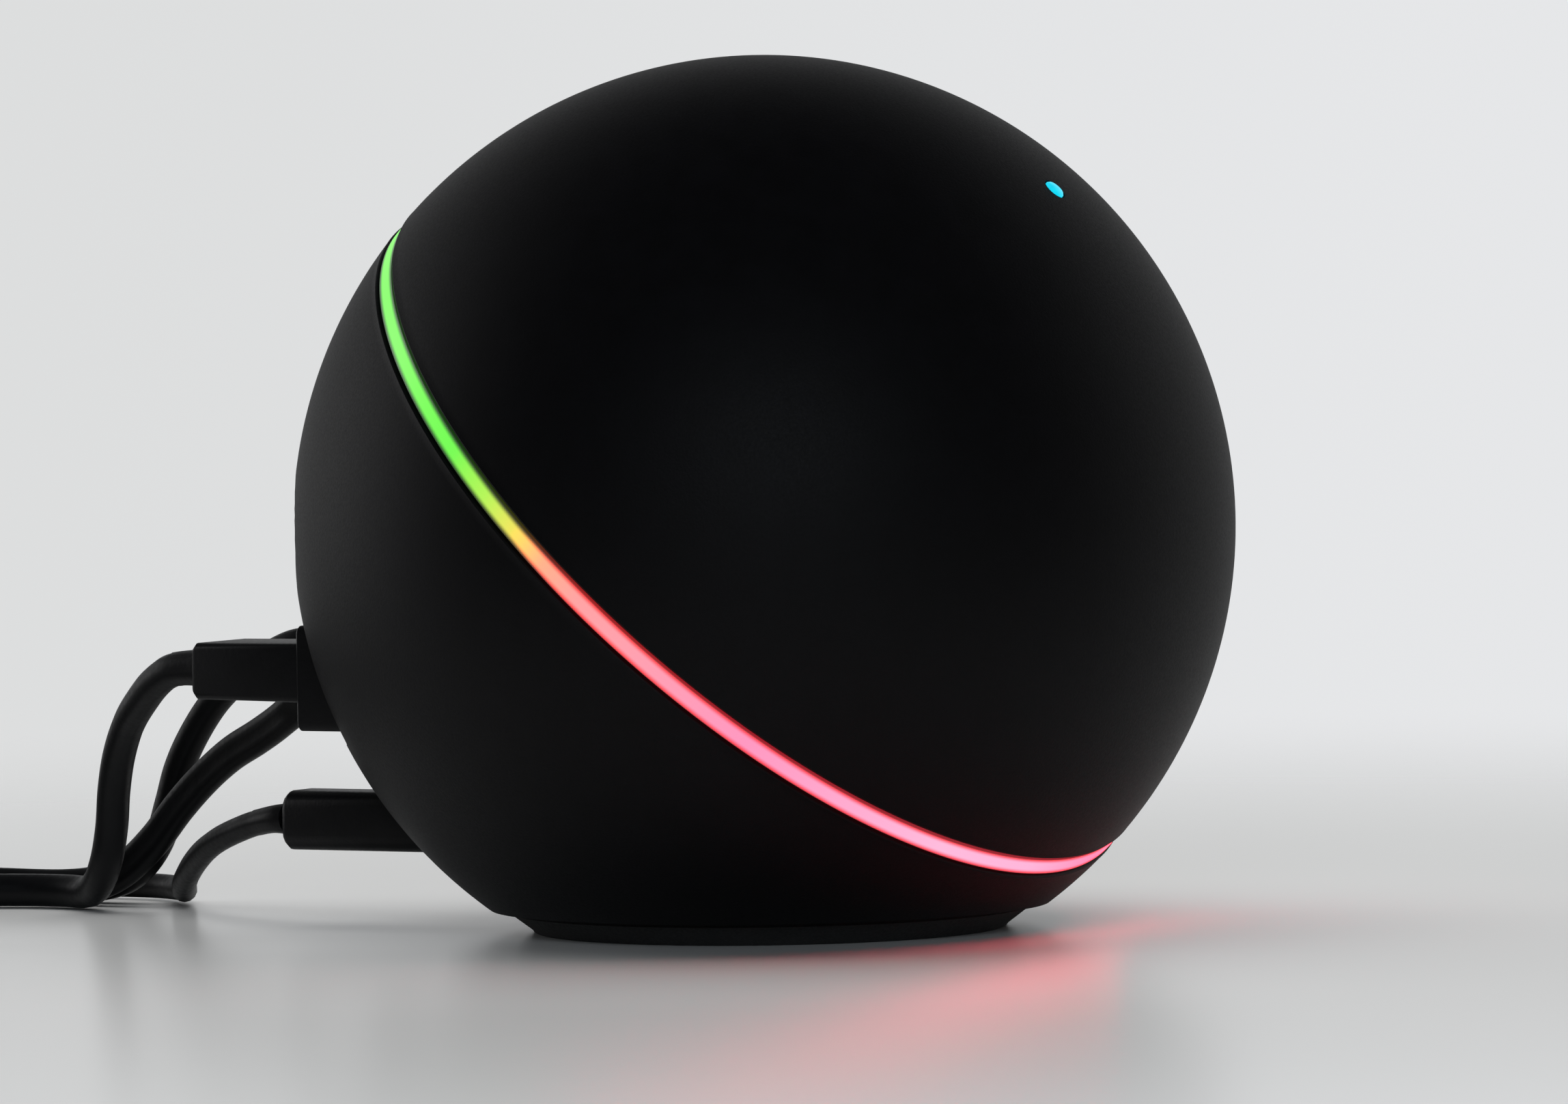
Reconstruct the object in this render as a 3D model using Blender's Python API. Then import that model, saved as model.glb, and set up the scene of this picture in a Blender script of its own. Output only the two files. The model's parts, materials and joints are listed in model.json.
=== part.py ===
"""Ball-shaped network music player of the smart-speaker family.

A matt black ball on a small rubber foot. The upper half of the ball is a dome that turns about an
axis leaning 45 degrees forwards: turning it sets the volume and touching it mutes. A ring of light
lies in the seam, and a small mute light shows at the dome's pole. The ports are in a T-shaped
recess at the back, with a network, a mains, a video and an optical lead plugged in.

Frame: metres, +Z up, front is -Y, origin under the centre of the foot.
"""

import math

import bmesh
import bpy
from mathutils import Vector

# ---- driving dimensions -------------------------------------------------------------------------
BALL_R = 0.058
CENTRE_Z = 0.0495  # the ball's centre above the surface it stands on
LEAN = math.radians(45.0)  # the dome's axis leans this far forwards
GAP = 0.0003  # clearance between neighbouring solids

SEAM_TOP = 0.00095  # the light ring's top and bottom faces, along the dome's axis
SEAM_BOTTOM = -0.00145
BASE_WALL = 0.0026
DOME_WALL = 0.0020
BASE_FLAT = -0.0466  # the base's flat underside, from the ball's centre
FOOT_TOP = -0.0469
FOOT_TOP_R = 0.0320
FOOT_BOTTOM_R = 0.0290

RING_STEPS = 48  # facets round a large turned piece
RACE_STEPS = 32
SMALL_STEPS = 24
PIN_STEPS = 12

# ---- rear recess: a wide upper row over a narrow lower row, heights from the ball's centre -------
PANEL_Y = 0.0330  # outer face of the port panel
UPPER_TOP = -0.0112
ROW_SPLIT = -0.0260
LOWER_BOTTOM = -0.0420
UPPER_HALF = 0.0310
LOWER_HALF = 0.0195
RECESS_WALL = 0.0016
PANEL_THICK = 0.0015

# ---- bearing under the dome ----------------------------------------------------------------------
BALL_COUNT = 6
BEARING_BALL_R = 0.0018
BEARING_PITCH_R = 0.0206
BEARING_H = 0.0036
GROOVE_R = 0.0021


# ---- materials -----------------------------------------------------------------------------------
def material(name, colour, roughness, metallic=0.0):
    """A Principled material with one colour."""
    made = bpy.data.materials.new(name)
    made.use_nodes = True
    shader = made.node_tree.nodes["Principled BSDF"]
    shader.inputs["Base Color"].default_value = (*colour, 1.0)
    shader.inputs["Roughness"].default_value = roughness
    shader.inputs["Metallic"].default_value = metallic
    return made


def all_materials():
    """Every material of the object, by slot name."""
    return {
        "matt_black": material("matt_black", (0.018, 0.018, 0.020), 0.55),
        "light_guide": material("light_guide", (0.75, 0.75, 0.75), 0.35),
        "rubber": material("rubber", (0.020, 0.020, 0.020), 0.85),
        "inner_plastic": material("inner_plastic", (0.08, 0.08, 0.085), 0.6),
        "circuit_board": material("circuit_board", (0.02, 0.12, 0.06), 0.45),
        "steel": material("steel", (0.55, 0.56, 0.58), 0.3, 1.0),
        "aluminium": material("aluminium", (0.7, 0.7, 0.72), 0.35, 1.0),
        "socket": material("socket", (0.03, 0.03, 0.03), 0.4),
        "copper": material("copper", (0.72, 0.42, 0.22), 0.35, 1.0),
        "cord_black": material("cord_black", (0.015, 0.015, 0.016), 0.6),
    }


# ---- building blocks -----------------------------------------------------------------------------
def add_object(name, mesh, paint, parent=None):
    """Link a mesh as a named object, smooth where it is round."""
    mesh.materials.clear()
    mesh.materials.append(paint)
    mesh.shade_smooth()
    mesh.set_sharp_from_angle(angle=math.radians(30.0))
    made = bpy.data.objects.new(name, mesh)
    bpy.context.collection.objects.link(made)
    made.parent = parent
    return made


def mesh_from(bm, name):
    """Tidy a bmesh, turn its faces outwards and make a mesh of it."""
    bmesh.ops.remove_doubles(bm, verts=bm.verts, dist=1e-6)
    bmesh.ops.recalc_face_normals(bm, faces=bm.faces)
    mesh = bpy.data.meshes.new(name)
    bm.to_mesh(mesh)
    bm.free()
    return mesh


def spin_profile(profile, steps, closed=True):
    """A bmesh of a (radius, height) outline turned about the Z axis."""
    bm = bmesh.new()
    points = [bm.verts.new((r, 0.0, h)) for r, h in profile]
    edges = [bm.edges.new(pair) for pair in zip(points, points[1:])]
    if closed:
        edges.append(bm.edges.new((points[-1], points[0])))
    bmesh.ops.spin(
        bm,
        geom=points + edges,
        cent=(0.0, 0.0, 0.0),
        axis=(0.0, 0.0, 1.0),
        angle=2.0 * math.pi,
        steps=steps,
        use_merge=True,
    )
    return bm


def turned(name, profile, paint, parent, steps=RING_STEPS, closed=True):
    """A turned piece; an open outline starts and ends on the axis."""
    return add_object(name, mesh_from(spin_profile(profile, steps, closed), name), paint, parent)


def disc(name, radius, low, high, paint, parent, steps=SMALL_STEPS):
    """A plain disc or rod."""
    outline = [(0.0, low), (radius, low), (radius, high), (0.0, high)]
    return turned(name, outline, paint, parent, steps, closed=False)


def sphere_arc(radius, low, high, count):
    """Points (radius, height) on a ball's surface, from one height to another."""
    start = math.asin(low / radius)
    end = math.asin(high / radius)
    angles = [start + (end - start) * i / count for i in range(count + 1)]
    return [(radius * math.cos(a), radius * math.sin(a)) for a in angles]


def toothed_ring(name, r_in, r_out, low, high, tooth, is_tooth, paint, parent, steps=RING_STEPS):
    """A ring with its top face raised by tooth (lowered if negative) on chosen sectors."""
    bm = spin_profile([(r_in, low), (r_out, low), (r_out, high), (r_in, high)], steps)
    bmesh.ops.remove_doubles(bm, verts=bm.verts, dist=1e-6)
    bmesh.ops.recalc_face_normals(bm, faces=bm.faces)
    side = 1.0 if tooth > 0 else -1.0
    chosen = []
    for face in bm.faces:
        if face.normal.z * side < 0.9:
            continue
        centre = face.calc_center_median()
        sector = int((math.atan2(centre.y, centre.x) % (2.0 * math.pi)) / (2.0 * math.pi) * steps)
        if is_tooth(sector):
            chosen.append(face)
    raised = bmesh.ops.extrude_face_region(bm, geom=chosen)
    moved = [v for v in raised["geom"] if isinstance(v, bmesh.types.BMVert)]
    bmesh.ops.translate(bm, verts=moved, vec=(0.0, 0.0, tooth))
    bmesh.ops.delete(bm, geom=chosen, context="FACES_ONLY")
    return add_object(name, mesh_from(bm, name), paint, parent)


def block(name, low, high, paint, parent=None, bevel=0.0):
    """A box between two corners, with its edges bevelled if asked."""
    bm = bmesh.new()
    bmesh.ops.create_cube(bm, size=1.0)
    size = Vector(high) - Vector(low)
    bmesh.ops.scale(bm, verts=bm.verts, vec=size)
    bmesh.ops.translate(bm, verts=bm.verts, vec=(Vector(low) + Vector(high)) / 2.0)
    if bevel:
        bmesh.ops.bevel(bm, geom=bm.edges, offset=bevel, segments=1, affect="EDGES")
    return add_object(name, mesh_from(bm, name), paint, parent)


def prism(name, outline, low_y, high_y, paint, parent=None):
    """An outline of (x, z) points, extruded from one Y to another."""
    bm = bmesh.new()
    face = bm.faces.new([bm.verts.new((x, low_y, z)) for x, z in outline])
    extruded = bmesh.ops.extrude_face_region(bm, geom=[face])
    moved = [v for v in extruded["geom"] if isinstance(v, bmesh.types.BMVert)]
    bmesh.ops.translate(bm, verts=moved, vec=(0.0, high_y - low_y, 0.0))
    return add_object(name, mesh_from(bm, name), paint, parent)


def apply_boolean(target, cutter, operation="DIFFERENCE"):
    """Cut or join two solids for good, and remove the second one."""
    change = target.modifiers.new(operation.lower(), "BOOLEAN")
    change.operation = operation
    change.solver = "EXACT"
    change.object = cutter
    bpy.context.view_layer.update()
    graph = bpy.context.evaluated_depsgraph_get()
    result = bpy.data.meshes.new_from_object(target.evaluated_get(graph))
    target.modifiers.clear()
    target.data = result
    bpy.data.objects.remove(cutter)
    result.shade_smooth()
    result.set_sharp_from_angle(angle=math.radians(30.0))


def weld(target):
    """Merge the hair-thin edges that a cut can leave, and turn the faces outwards."""
    bm = bmesh.new()
    bm.from_mesh(target.data)
    bmesh.ops.remove_doubles(bm, verts=bm.verts, dist=2e-5)
    bmesh.ops.dissolve_degenerate(bm, edges=bm.edges, dist=1e-5)
    bmesh.ops.recalc_face_normals(bm, faces=bm.faces)
    bm.to_mesh(target.data)
    bm.free()


def t_outline(spare):
    """The recess's T outline, grown by spare on every side, from the ball's centre."""
    upper = UPPER_HALF + spare
    lower = LOWER_HALF + spare
    return [
        (-upper, UPPER_TOP + spare),
        (-upper, ROW_SPLIT - spare),
        (-lower, ROW_SPLIT - spare),
        (-lower, LOWER_BOTTOM - spare),
        (lower, LOWER_BOTTOM - spare),
        (lower, ROW_SPLIT - spare),
        (upper, ROW_SPLIT - spare),
        (upper, UPPER_TOP + spare),
    ]


# ---- casing --------------------------------------------------------------------------------------
def make_base_shell(paint, centre, axis):
    """The die-cast lower shell, with the recess for the ports and three screw posts."""
    top = SEAM_BOTTOM - GAP
    shell = turned(
        "base_shell",
        [(0.0, -BALL_R)] + sphere_arc(BALL_R, -BALL_R * 0.9999, top, 12)[1:] + [(0.0, top)],
        paint["matt_black"],
        axis,
        closed=False,
    )
    inner_r = BALL_R - BASE_WALL
    hollow = turned(
        "hollow",
        [(0.0, -inner_r)]
        + sphere_arc(inner_r, -inner_r * 0.9999, top - 0.0002, 9)[1:]
        + [(inner_r, 0.004), (0.0, 0.004)],
        paint["matt_black"],
        axis,
        closed=False,
    )
    walls = prism("walls", t_outline(RECESS_WALL), PANEL_Y - 0.003, 0.07, paint["matt_black"], centre)
    apply_boolean(hollow, walls)
    for place in post_places():
        post = disc("post", 0.0034, -0.06, -0.0052, paint["matt_black"], axis, PIN_STEPS)
        post.location = place
        apply_boolean(hollow, post)
    apply_boolean(shell, hollow)
    recess = prism("recess", t_outline(0.0), 0.0, 0.09, paint["matt_black"], centre)
    apply_boolean(shell, recess)
    far = 0.1
    under = block("under", (-far, -far, -far), (far, far, BASE_FLAT), paint["matt_black"], centre)
    apply_boolean(shell, under)
    for place in post_places():
        hole = disc("hole", 0.0014, -0.014, 0.0, paint["matt_black"], axis, PIN_STEPS)
        hole.location = place
        apply_boolean(shell, hole)
    weld(shell)


def post_places():
    """Where the three screws stand round the dome's axis, seen along it."""
    angles = [math.radians(a) for a in (90.0, 210.0, 330.0)]
    return [Vector((0.045 * math.cos(a), 0.045 * math.sin(a), 0.0)) for a in angles]


def make_casing(paint, centre, axis):
    """Shells, light ring, panel, bottom plate and foot."""
    make_base_shell(paint, centre, axis)
    dome_low = SEAM_TOP + GAP
    inner_r = BALL_R - DOME_WALL
    lens_hole = 0.00145
    outer = sphere_arc(BALL_R, dome_low, math.sqrt(BALL_R**2 - lens_hole**2), 11)
    inner = sphere_arc(inner_r, dome_low, math.sqrt(inner_r**2 - lens_hole**2), 8)
    turned("dome_shell", outer + inner[::-1], paint["matt_black"], axis)

    guide_in = 0.0540
    step_r = 0.0551
    outline = [
        (guide_in, -0.0020),
        (step_r, -0.0020),
        (step_r, SEAM_BOTTOM),
        *sphere_arc(BALL_R, SEAM_BOTTOM, SEAM_TOP, 2),
        (guide_in, SEAM_TOP),
    ]
    turned("light_ring", outline, paint["light_guide"], axis)

    plate_top = BASE_FLAT + 0.0020
    disc("bottom_plate", 0.0295, BASE_FLAT, plate_top, paint["inner_plastic"], centre, 36)
    foot_low = -CENTRE_Z
    foot = [(0.0, foot_low), (FOOT_BOTTOM_R, foot_low), (FOOT_TOP_R, FOOT_TOP), (0.0, FOOT_TOP)]
    turned("rubber_foot", foot, paint["rubber"], centre, closed=False)


# ---- dome drive: frame, bearing, encoder and mute light ------------------------------------------
def make_dome_drive(paint, axis):
    """Everything round the dome's axis except the shells."""
    frame_outline = [
        (0.0040, -0.0048),
        (0.0549, -0.0048),
        (0.0549, -0.0023),
        (0.0165, -0.0023),
        (0.0165, 0.0010),
        (0.0165, 0.0062),
        (0.0130, 0.0062),
        (0.0130, -0.0023),
        (0.0040, -0.0023),
    ]
    frame = turned("mid_frame", frame_outline, paint["inner_plastic"], axis)
    for place in post_places():
        hole = disc("hole", 0.0018, -0.01, 0.0, paint["inner_plastic"], axis, PIN_STEPS)
        hole.location = place
        apply_boolean(frame, hole)
    weld(frame)
    for index, place in enumerate(post_places(), start=1):
        outline = [(0.0, -0.0120), (0.0010, -0.0120), (0.0010, -0.0020), (0.0026, -0.0020)]
        outline += [(0.0026, -0.0004), (0.0, -0.0004)]
        screw = turned(f"frame_screw_{index}", outline, paint["steel"], axis, PIN_STEPS, closed=False)
        screw.location = place

    led_sectors = 64
    toothed_ring(
        "led_board",
        0.0490,
        0.0537,
        -0.0019,
        -0.0012,
        0.0013,
        lambda sector: sector % 2 == 0,
        paint["circuit_board"],
        axis,
        led_sectors,
    ).rotation_euler = (0.0, 0.0, math.radians(90.0))

    groove = [
        (BEARING_PITCH_R - GROOVE_R * math.cos(a), BEARING_H + GROOVE_R * math.sin(a))
        for a in (math.radians(d) for d in (-50.0, -25.0, 0.0, 25.0, 50.0))
    ]
    low, high = 0.0012, 0.0060
    shoulder = groove[0][0]
    inner_race = [(0.0168, low), (shoulder, low), *groove, (shoulder, high), (0.0168, high)]
    turned("bearing_inner_race", inner_race, paint["steel"], axis, RACE_STEPS)
    mirrored = [(2.0 * BEARING_PITCH_R - r, h) for r, h in groove]
    shoulder = mirrored[0][0]
    outer_race = [(0.0240, high), (shoulder, high), *mirrored[::-1], (shoulder, low), (0.0240, low)]
    turned("bearing_outer_race", outer_race, paint["steel"], axis, RACE_STEPS)

    sectors_per_ball = RING_STEPS // BALL_COUNT
    toothed_ring(
        "ball_cage",
        BEARING_PITCH_R - 0.0008,
        BEARING_PITCH_R + 0.0008,
        0.0058,
        0.0068,
        -0.0032,
        lambda sector: sector % sectors_per_ball not in (0, sectors_per_ball - 1),
        paint["inner_plastic"],
        axis,
    )
    for index in range(BALL_COUNT):
        angle = 2.0 * math.pi * index / BALL_COUNT
        bm = bmesh.new()
        bmesh.ops.create_icosphere(bm, subdivisions=2, radius=BEARING_BALL_R)
        ball = add_object(f"bearing_ball_{index + 1}", mesh_from(bm, "ball"), paint["steel"], axis)
        ball.location = (
            BEARING_PITCH_R * math.cos(angle),
            BEARING_PITCH_R * math.sin(angle),
            BEARING_H,
        )

    carrier = [
        (0.0243, 0.0014),
        (0.0270, 0.0014),
        (0.0270, 0.0064),
        (0.0550, 0.0064),
        (0.0550, 0.0080),
        (0.0243, 0.0080),
    ]
    turned("dome_carrier", carrier, paint["inner_plastic"], axis)
    toothed_ring(
        "encoder_ring",
        0.0290,
        0.0340,
        0.0048,
        0.0061,
        -0.0008,
        lambda sector: sector % 2 == 0,
        paint["steel"],
        axis,
    )
    block("encoder_sensor", (0.0290, -0.0030, -0.0020), (0.0340, 0.0030, 0.0034), paint["socket"], axis)

    mast = [
        (0.0028, -0.0020),
        (0.0126, -0.0020),
        (0.0126, 0.0),
        (0.0048, 0.0020),
        (0.0042, 0.0400),
        (0.0080, 0.0422),
        (0.0080, 0.0437),
        (0.0028, 0.0437),
    ]
    turned("centre_mast", mast, paint["inner_plastic"], axis, SMALL_STEPS)
    disc("touch_board", 0.0120, 0.0440, 0.0452, paint["circuit_board"], axis)
    disc("mute_light_guide", 0.0013, 0.0455, 0.0546, paint["light_guide"], axis, PIN_STEPS)
    lens = [
        (0.0, 0.0549),
        (0.0024, 0.0549),
        (0.0024, 0.0556),
        (0.00115, 0.0556),
        (0.00115, 0.0579),
        (0.0, 0.0580),
    ]
    turned("mute_lens", lens, paint["light_guide"], axis, SMALL_STEPS, closed=False)


# ---- electronics in the base ---------------------------------------------------------------------
def make_electronics(paint, centre, axis):
    """Boards and the power supply inside the lower shell."""
    block("main_board", (-0.032, -0.012, -0.0096), (0.032, 0.034, -0.0080), paint["circuit_board"], axis)
    block("power_board", (-0.027, -0.020, -0.0380), (0.027, 0.010, -0.0364), paint["circuit_board"], centre)
    low, high = (-0.022, -0.012, -0.0361), (-0.002, 0.007, -0.0220)
    block("power_transformer", low, high, paint["copper"], centre, 0.001)
    smoothing = disc("smoothing_capacitor", 0.0065, -0.0361, -0.0200, paint["aluminium"], centre, 16)
    smoothing.location = (0.012, 0.001, 0.0)


# ---- ports ---------------------------------------------------------------------------------------
# Each port: name, centre X, centre Z, width and height of its body, width and height of its mouth.
UPPER_ROW_Z = -0.0178
LOWER_ROW_Z = -0.0356
PORTS = {
    "network_socket": (-0.0215, UPPER_ROW_Z, 0.0158, 0.0118, 0.0122, 0.0086),
    "mains_inlet": (-0.0032, UPPER_ROW_Z, 0.0175, 0.0110, 0.0142, 0.0080),
    "video_socket": (0.0118, UPPER_ROW_Z, 0.0090, 0.0060, 0.0070, 0.0034),
    "usb_socket": (0.0240, UPPER_ROW_Z, 0.0086, 0.0050, 0.0066, 0.0026),
    "optical_socket": (-0.0132, LOWER_ROW_Z, 0.0100, 0.0100, 0.0066, 0.0066),
}
SOCKET_DEPTH = 0.0140
MOUTH_DEPTH = 0.0100
TERMINAL_XS = (-0.0030, 0.0035, 0.0100, 0.0165)


def make_ports(paint, centre):
    """The port panel in the recess and the sockets that look through it."""
    inner_face = PANEL_Y - PANEL_THICK
    outline = t_outline(-GAP)
    panel = prism("port_panel", outline, inner_face, PANEL_Y, paint["inner_plastic"], centre)
    for name, (x, z, wide, tall, mouth_wide, mouth_tall) in PORTS.items():
        spare = GAP
        low = (x - wide / 2 - spare, inner_face - 0.01, z - tall / 2 - spare)
        high = (x + wide / 2 + spare, PANEL_Y + 0.01, z + tall / 2 + spare)
        apply_boolean(panel, block("window", low, high, paint["inner_plastic"], centre))
        low = (x - wide / 2, PANEL_Y - SOCKET_DEPTH, z - tall / 2)
        high = (x + wide / 2, PANEL_Y, z + tall / 2)
        socket = block(name, low, high, paint["socket"], centre)
        low = (x - mouth_wide / 2, PANEL_Y - MOUTH_DEPTH, z - mouth_tall / 2)
        high = (x + mouth_wide / 2, PANEL_Y + 0.01, z + mouth_tall / 2)
        apply_boolean(socket, block("mouth", low, high, paint["socket"], centre))
        weld(socket)
    for x in TERMINAL_XS:
        hole = disc("hole", 0.0029, 0.02, 0.05, paint["inner_plastic"], centre, 16)
        hole.rotation_euler = (math.radians(-90.0), 0.0, 0.0)
        hole.location = (x, 0.0, LOWER_ROW_Z)
        apply_boolean(panel, hole)
    weld(panel)
    for index, x in enumerate(TERMINAL_XS, start=1):
        outline = [
            (0.0, 0.0230),
            (0.0026, 0.0230),
            (0.0026, PANEL_Y + 0.0006),
            (0.0019, PANEL_Y + 0.0006),
            (0.0019, 0.0250),
            (0.0, 0.0250),
        ]
        name = f"speaker_terminal_{index}"
        terminal = turned(name, outline, paint["copper"], centre, 16, closed=False)
        terminal.rotation_euler = (math.radians(-90.0), 0.0, 0.0)
        terminal.location = (x, 0.0, LOWER_ROW_Z)


# ---- leads ---------------------------------------------------------------------------------------
# Routes are chosen by hand, in metres from the origin, from the plug at the recess to the coil.
# coil: centre, radius of its outermost turn, turns side by side, layers.
LEADS = {
    "network": {
        "radius": 0.0021,
        "points": [
            (-0.0215, 0.0668, 0.0324),
            (-0.0213, 0.0690, 0.0325),
            (-0.0205, 0.0733, 0.0321),
            (-0.0188, 0.0768, 0.0306),
            (-0.0160, 0.0808, 0.0281),
            (-0.0125, 0.0851, 0.0249),
            (-0.0092, 0.0888, 0.0205),
            (-0.0066, 0.0913, 0.0159),
            (-0.0049, 0.0928, 0.0113),
            (-0.0037, 0.0944, 0.0071),
            (-0.0018, 0.0969, 0.0039),
            (0.0010, 0.1004, 0.0024),
            (0.0024, 0.1045, 0.0023),
            (0.0024, 0.1095, 0.0023),
            (0.0008, 0.1150, 0.0023),
            (-0.0006, 0.1200, 0.0023),
        ],
        "coil": ((-0.0290, 0.1360), 0.0274, 3, 2),
        "tail": [(-0.0564, 0.1195, 0.0056), (-0.0564, 0.1125, 0.0047)],
    },
    "mains": {
        "radius": 0.0021,
        "points": [
            (-0.0032, 0.0551, 0.0316),
            (-0.0031, 0.0572, 0.0315),
            (-0.0024, 0.0616, 0.0302),
            (-0.0003, 0.0668, 0.0273),
            (0.0022, 0.0722, 0.0243),
            (0.0036, 0.0760, 0.0224),
            (0.0052, 0.0811, 0.0200),
            (0.0066, 0.0860, 0.0168),
            (0.0074, 0.0903, 0.0131),
            (0.0077, 0.0945, 0.0086),
            (0.0078, 0.0991, 0.0048),
            (0.0078, 0.1032, 0.0030),
            (0.0078, 0.1076, 0.0024),
            (0.0074, 0.1200, 0.0024),
            (0.0050, 0.1370, 0.0024),
            (0.0012, 0.1540, 0.0024),
            (-0.0042, 0.1700, 0.0024),
            (-0.0072, 0.1891, 0.0024),
        ],
        "coil": ((-0.0358, 0.2060), 0.0286, 4, 2),
        "tail": [(-0.0072, 0.2230, 0.0066), (-0.0072, 0.2290, 0.0067)],
    },
    "video": {
        "radius": 0.0020,
        "points": [
            (0.0118, 0.0583, 0.0317),
            (0.0118, 0.0610, 0.0319),
            (0.0118, 0.0660, 0.0330),
            (0.0118, 0.0705, 0.0340),
            (0.0120, 0.0750, 0.0338),
            (0.0124, 0.0793, 0.0322),
            (0.0129, 0.0845, 0.0294),
            (0.0133, 0.0886, 0.0260),
            (0.0134, 0.0920, 0.0215),
            (0.0133, 0.0940, 0.0176),
            (0.0131, 0.0954, 0.0130),
            (0.0128, 0.0972, 0.0078),
            (0.0126, 0.1006, 0.0040),
            (0.0125, 0.1050, 0.0024),
            (0.0125, 0.1110, 0.0022),
            (0.0124, 0.1400, 0.0022),
            (0.0123, 0.1800, 0.0022),
            (0.0122, 0.2200, 0.0022),
        ],
        "coil": ((0.0382, 0.2360), 0.0260, 3, 2),
        "tail": [(0.0122, 0.2519, 0.0059), (0.0122, 0.2580, 0.0058)],
    },
    "optical": {
        "radius": 0.0016,
        "points": [
            (-0.0132, 0.0614, 0.0133),
            (-0.0130, 0.0632, 0.0132),
            (-0.0114, 0.0672, 0.0125),
            (-0.0093, 0.0713, 0.0114),
            (-0.0070, 0.0753, 0.0101),
            (-0.0042, 0.0792, 0.0085),
            (-0.0010, 0.0828, 0.0067),
            (0.0028, 0.0864, 0.0047),
            (0.0070, 0.0896, 0.0031),
            (0.0122, 0.0928, 0.0020),
            (0.0170, 0.0965, 0.0018),
            (0.0198, 0.1020, 0.0018),
            (0.0206, 0.1150, 0.0018),
            (0.0204, 0.1350, 0.0018),
            (0.0202, 0.1551, 0.0018),
        ],
        "coil": ((0.0410, 0.1680), 0.0208, 3, 3),
        "tail": [(0.0202, 0.1809, 0.0062), (0.0202, 0.1870, 0.0048)],
    },
}
POINT_STEP = 2.5  # diameters between two points of a tube


def smooth_route(points, step):
    """Points every step along a smooth curve (centripetal Catmull-Rom) through the given ones."""
    given = [Vector(p) for p in points]
    padded = [2 * given[0] - given[1], *given, 2 * given[-1] - given[-2]]
    fine = []
    for a, b, c, d in zip(padded, padded[1:], padded[2:], padded[3:]):
        knots = [0.0]
        for start, end in ((a, b), (b, c), (c, d)):
            knots.append(knots[-1] + math.sqrt((end - start).length))
        t0, t1, t2, t3 = knots
        for i in range(20):
            t = t1 + (t2 - t1) * i / 20
            ab = a.lerp(b, (t - t0) / (t1 - t0))
            bc = b.lerp(c, (t - t1) / (t2 - t1))
            cd = c.lerp(d, (t - t2) / (t3 - t2))
            abc = ab.lerp(bc, (t - t0) / (t2 - t0))
            bcd = bc.lerp(cd, (t - t1) / (t3 - t1))
            fine.append(abc.lerp(bcd, (t - t1) / (t2 - t1)))
    fine.append(given[-1])
    lengths = [0.0]
    for start, end in zip(fine, fine[1:]):
        lengths.append(lengths[-1] + (end - start).length)
    count = max(2, round(lengths[-1] / step))
    spaced = []
    index = 0
    for i in range(count + 1):
        wanted = lengths[-1] * i / count
        while index < len(lengths) - 2 and lengths[index + 1] < wanted:
            index += 1
        share = (wanted - lengths[index]) / (lengths[index + 1] - lengths[index])
        spaced.append(fine[index].lerp(fine[index + 1], min(share, 1.0)))
    return spaced


def tube(name, points, radius, paint):
    """A round cord along a route."""
    curve = bpy.data.curves.new(name, "CURVE")
    curve.dimensions = "3D"
    curve.bevel_depth = radius
    curve.bevel_resolution = 2
    curve.use_fill_caps = True
    route = smooth_route(points, 2.0 * radius * POINT_STEP)
    straight_out = (Vector(points[1]) - Vector(points[0])).normalized() * radius
    route.insert(1, Vector(points[0]) + straight_out)
    spline = curve.splines.new("POLY")
    spline.points.add(len(route) - 1)
    for point, place in zip(spline.points, route):
        point.co = (*place, 1.0)
    curve.materials.append(paint)
    made = bpy.data.objects.new(name, curve)
    bpy.context.collection.objects.link(made)


def coil_ring(name, lead, paint):
    """The outer shape of a coil: a turned ring that the turns fill."""
    (x, y), outer_turn_r, side_by_side, layers = lead["coil"]
    radius = lead["radius"]
    r_out = outer_turn_r + radius
    r_in = outer_turn_r - 2.0 * radius * (side_by_side - 1) - radius
    low = 0.0002
    high = low + 2.0 * radius * layers
    chamfer = radius * 0.6
    outline = [
        (r_in, low + chamfer),
        (r_in + chamfer, low),
        (r_out - chamfer, low),
        (r_out, low + chamfer),
        (r_out, high - chamfer),
        (r_out - chamfer, high),
        (r_in + chamfer, high),
        (r_in, high - chamfer),
    ]
    made = turned(name, outline, paint, None, SMALL_STEPS)
    made.location = (x, y, 0.0)


def join_blocks(name, boxes, paint):
    """One solid made of boxes (low, high, bevel) that overlap."""
    whole = block(name, *boxes[0][:2], paint, None, boxes[0][2])
    for low, high, bevel in boxes[1:]:
        apply_boolean(whole, block("part", low, high, paint, None, bevel), "UNION")
    weld(whole)
    return whole


def centred_box(x, z, wide, tall, start, end, bevel):
    """A box (low, high, bevel) about a line along Y."""
    low = (x - wide / 2, start, z - tall / 2)
    high = (x + wide / 2, end, z + tall / 2)
    return low, high, bevel


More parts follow.
